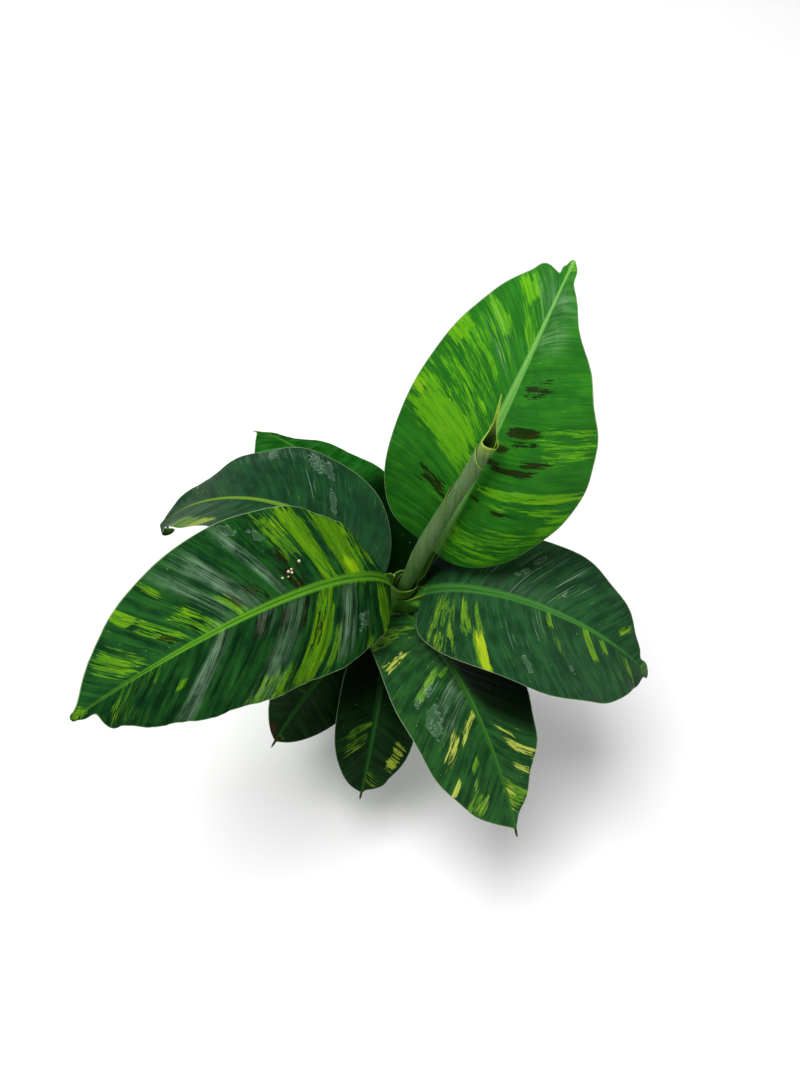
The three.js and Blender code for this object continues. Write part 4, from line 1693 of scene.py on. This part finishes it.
BACK = Leaf(
    name="back",
    foot_bearing=141.5, foot_radius=14.5 * MM, foot_height=140 * MM, drop=26 * MM,
    bearing=141.5, sweep=24.5, rise=47.5, droop=-45, bend=0.8,
    stalk=30 * MM, blade=221 * MM, width=156 * MM, peak=0.30, full=0.59, skew=0.01,
    roll=12, twist=10, fold=(2, -9.5), curl=(-34, 0), lean=(-0.09, 0.88),
    finger=1.5 * MM, finger_half=1.5 * MM, lobe=(0.5, 0.9),
    pleat=0.15 * MM, pleat_pitch=14 * MM, wave=1.5 * MM, phase=3.3,
    notches=(Notch(-1, 0.12, 0.12, -0.35),),
    patches=patched(
        yellow=((0.985, 0.0, 0.03, 1.0, 0.8),),
        lime=((0.9, -0.4, 0.05, 0.6, 0.35),),
        # painted shade towards the base, under the leaves above
        dusk=((0.12, -0.2, 0.24, 1.0, 1.0),),
    ),
)
OLDEST = Leaf(
    name="oldest",
    foot_bearing=252.5, foot_radius=15 * MM, foot_height=126 * MM, drop=26 * MM,
    bearing=252.5, sweep=18, rise=24, droop=-45, bend=1.4,
    stalk=5 * MM, blade=152 * MM, width=79 * MM, peak=0.38, full=0.53, skew=0.07,
    roll=3.5, twist=1.5, fold=(15, 12), curl=(-26, -21), lean=(-0.11, 1.0),
    finger=8 * MM, finger_half=1.2 * MM,
    pleat=0.15 * MM, pleat_pitch=12 * MM, wave=1.0 * MM, phase=2.2,
    patches=patched(
        scorch=((0.92, -0.79, 0.037, 0.25, 1.0), (0.75, 1.0, 0.2, 0.02, 0.5), (1.0, 0.0, 0.03, 1.0, 0.9)),
        lime=((0.95, 0.23, 0.025, 0.64, 0.35),),
        # painted shade towards the base, under the leaves above
        dusk=((0.2, 0.0, 0.24, 1.0, 0.8),),
    ),
)

YOUNG_LOOK = BladeFinish(
    green=srgb(48, 126, 30), deep=srgb(32, 102, 26), lime=srgb(98, 172, 22), yellow=srgb(128, 188, 24),
    rib=srgb(126, 186, 94), rib_groove=srgb(106, 170, 72), under=srgb(96, 136, 72),
    lime_level=0.12, seed=1.0, sheen=0.04, rib_half=(10 * MM, 1.5 * MM),
)
LONG_LOOK = BladeFinish(
    green=srgb(34, 86, 34), deep=srgb(14, 48, 24), lime=srgb(88, 142, 18), yellow=srgb(140, 182, 18),
    rib=srgb(98, 158, 36), rib_groove=srgb(50, 110, 26), under=srgb(52, 96, 34),
    lime_level=0.04, seed=5.0, roughness=0.4, rib_half=(5.2 * MM, 0.9 * MM), rib_fade=0.7, sheen=0.0,
)
SIDE_LOOK = BladeFinish(
    green=srgb(34, 78, 40), deep=srgb(18, 52, 28), lime=srgb(84, 130, 24), yellow=srgb(158, 180, 30),
    rib=srgb(64, 122, 48), rib_groove=srgb(40, 96, 32), under=srgb(80, 112, 68),
    lime_level=0.0, seed=8.0, roughness=0.42, rib_half=(5.4 * MM, 0.8 * MM), rib_fade=0.6,
)
ARCHING_LOOK = BladeFinish(
    green=srgb(24, 70, 35), deep=srgb(13, 48, 26), lime=srgb(92, 136, 34), yellow=srgb(138, 160, 50),
    rib=srgb(104, 140, 42), rib_groove=srgb(88, 126, 36), under=srgb(60, 96, 50),
    lime_level=-0.06, seed=11.0, rib_half=(4.9 * MM, 1.0 * MM), rib_fade=0.85, sheen=0.04,
)
FRONT_LOOK = BladeFinish(
    green=srgb(38, 86, 38), deep=srgb(18, 54, 24), lime=srgb(88, 144, 24), yellow=srgb(176, 188, 78),
    rib=srgb(54, 106, 34), rib_groove=srgb(36, 84, 26), under=srgb(78, 112, 64),
    lime_level=0.03, seed=14.0, roughness=0.42,
)
# darker greens of the old low leaves, darkened further as painted shade under the leaves above
OLD_SHADED_LOOK = BladeFinish(
    green=srgb(12, 46, 12), deep=srgb(4, 26, 6), lime=srgb(64, 108, 22), yellow=srgb(136, 156, 48),
    rib=srgb(30, 76, 22), rib_groove=srgb(24, 66, 18), under=srgb(66, 96, 52),
    lime_level=-0.03, seed=17.0, roughness=0.46,
)
BACK_LOOK = BladeFinish(
    green=srgb(34, 98, 32), deep=srgb(13, 70, 12), lime=srgb(86, 130, 36), yellow=srgb(130, 146, 50),
    rib=srgb(70, 122, 42), rib_groove=srgb(52, 102, 32), under=srgb(76, 110, 62),
    seed=20.0, roughness=0.46, sheen=0.0,
)

CRUMBS = Crumbs(
    LONG,
    specks=(
        (0.392, -0.325, 1.3 * MM), (0.431, -0.262, 1.0 * MM), (0.442, -0.25, 1.2 * MM),
        (0.465, -0.212, 1.0 * MM), (0.436, -0.228, 1.1 * MM), (0.452, -0.2, 0.7 * MM),
    ),
    thread=((0.392, -0.325), (0.412, -0.287), (0.428, -0.25), (0.444, -0.246), (0.458, -0.206)),
)

SIDE_STALK = StalkFinish(
    green=srgb(44, 104, 28), pale=srgb(76, 132, 42), edge=srgb(150, 170, 56), channel=srgb(60, 118, 34),
    base=srgb(84, 116, 30), seed=3.0,
)
# darker copy of the stalk finish for the low stalks, as painted shade under the crown
LOW_SHADED_STALK = StalkFinish(
    green=srgb(24, 66, 16), pale=srgb(52, 98, 28), edge=srgb(104, 132, 60), channel=srgb(30, 76, 20),
    base=srgb(56, 84, 28), seed=4.0,
)

BLADES = (
    Blade(UPRIGHT, YOUNG_LOOK, "young_blade"),
    Blade(LONG, LONG_LOOK, "blade"),
    Blade(SIDE, SIDE_LOOK, "blade"),
    Blade(ARCHING, ARCHING_LOOK, "blade"),
    Blade(FRONT, FRONT_LOOK, "blade"),
    Blade(LOWER, OLD_SHADED_LOOK, "old_blade", rows=160),
    Blade(BACK, BACK_LOOK, "old_blade"),
    Blade(OLDEST, OLD_SHADED_LOOK, "old_blade", rows=160),
)


# ---- stage --------------------------------------------------------------------------


@dataclass(frozen=True)
class Lamp:
    """A soft square light: its place, the length of its side and its power in watts."""

    name: str
    place: tuple[float, float, float]
    size: float
    power: float


@dataclass
class Studio:
    """Plain pale floor, soft lights and the camera."""

    floor_size: float = 6.0
    sky_strength: float = 0.3
    lens: float = 40.0
    sensor: float = 36.0
    aim: Vector = Vector((0, 0, 0.25))
    lamps: tuple[Lamp, ...] = (
        Lamp("key", (-1.5, -0.9, 3.9), 1.7, 190.0), Lamp("fill", (0.9, -1.3, 1.3), 1.4, 4.0),
        Lamp("rim", (0.5, 1.4, 1.2), 1.2, 5.0),
    )
    camera_place: Vector = Vector((-0.0310, -0.5593, 1.1364))
    camera_right: Vector = Vector((0.8480, 0.4444, 0.2886))
    camera_up: Vector = Vector((-0.5299, 0.7112, 0.4618))
    camera_back: Vector = Vector((0.0, -0.5446, 0.8387))

    def floor(self) -> None:
        """A plain pale floor under the cut."""
        mesh = bmesh.new()
        bmesh.ops.create_grid(mesh, x_segments=4, y_segments=4, size=self.floor_size / 2)
        board = Board("pale_floor")
        piece = to_piece(mesh, "floor", board.finish(srgb(243, 243, 243), 0.8))

    def light(self, lamp: Lamp) -> None:
        """One lamp, facing the plant.

        Args:
            lamp: its name, place, size and power.
        """
        data = bpy.data.lights.new(lamp.name, "AREA")
        data.size = lamp.size
        data.energy = lamp.power
        piece = bpy.data.objects.new(lamp.name, data)
        piece.location = lamp.place
        piece.rotation_mode = "QUATERNION"
        piece.rotation_quaternion = (self.aim - piece.location).to_track_quat("-Z", "Y")
        bpy.context.scene.collection.objects.link(piece)

    def sky(self) -> None:
        """Even white light from all round."""
        world = bpy.data.worlds.new("studio")
        world.use_nodes = True
        background = world.node_tree.nodes["Background"]
        background.inputs["Color"].default_value = (1.0, 1.0, 1.0, 1.0)
        background.inputs["Strength"].default_value = self.sky_strength
        bpy.context.scene.world = world

    def camera(self) -> None:
        """The camera, looking down on the crown and tilted."""
        data = bpy.data.cameras.new("camera")
        data.lens = self.lens
        data.sensor_width = self.sensor
        turn = Matrix((self.camera_right, self.camera_up, self.camera_back)).transposed()
        eye = bpy.data.objects.new("camera", data)
        eye.matrix_world = Matrix.Translation(self.camera_place) @ turn.to_4x4()
        bpy.context.scene.collection.objects.link(eye)
        bpy.context.scene.camera = eye

    def build(self) -> None:
        """Set up the whole stage."""
        self.floor()
        for lamp in self.lamps:
            self.light(lamp)
        self.sky()
        self.camera()
        scene = bpy.context.scene
        scene.view_settings.view_transform = "Standard"
        scene.view_settings.look = "None"


def main() -> None:
    """Build the plant from the ground up, then its stage."""
    logging.basicConfig(level=logging.INFO, format="%(name)s: %(message)s")
    stem = Pseudostem()
    stem.build()
    mouth = {
        "upright": MouthStalk(UPRIGHT, StalkFinish(seed=1.0), stem, rim=206 * MM, tube=9.2 * MM),
        "long": MouthStalk(LONG, StalkFinish(seed=2.0), stem, half=(8.5 * MM, 7.0 * MM)),
        "side": MouthStalk(
            SIDE, SIDE_STALK, stem, rim=195 * MM, tube=13.1 * MM, wide=160.0, keel=12.5 * MM, sink=48 * MM
        ),
    }
    for blade in BLADES:
        name = blade.leaf.name
        stalk = mouth.get(name) or Stalk(blade.leaf, LOW_SHADED_STALK, stem)
        stalk.build()
        blade.build()
    RolledLeaf().build()
    CRUMBS.build()
    Studio().build()


if __name__ == "__main__":
    main()
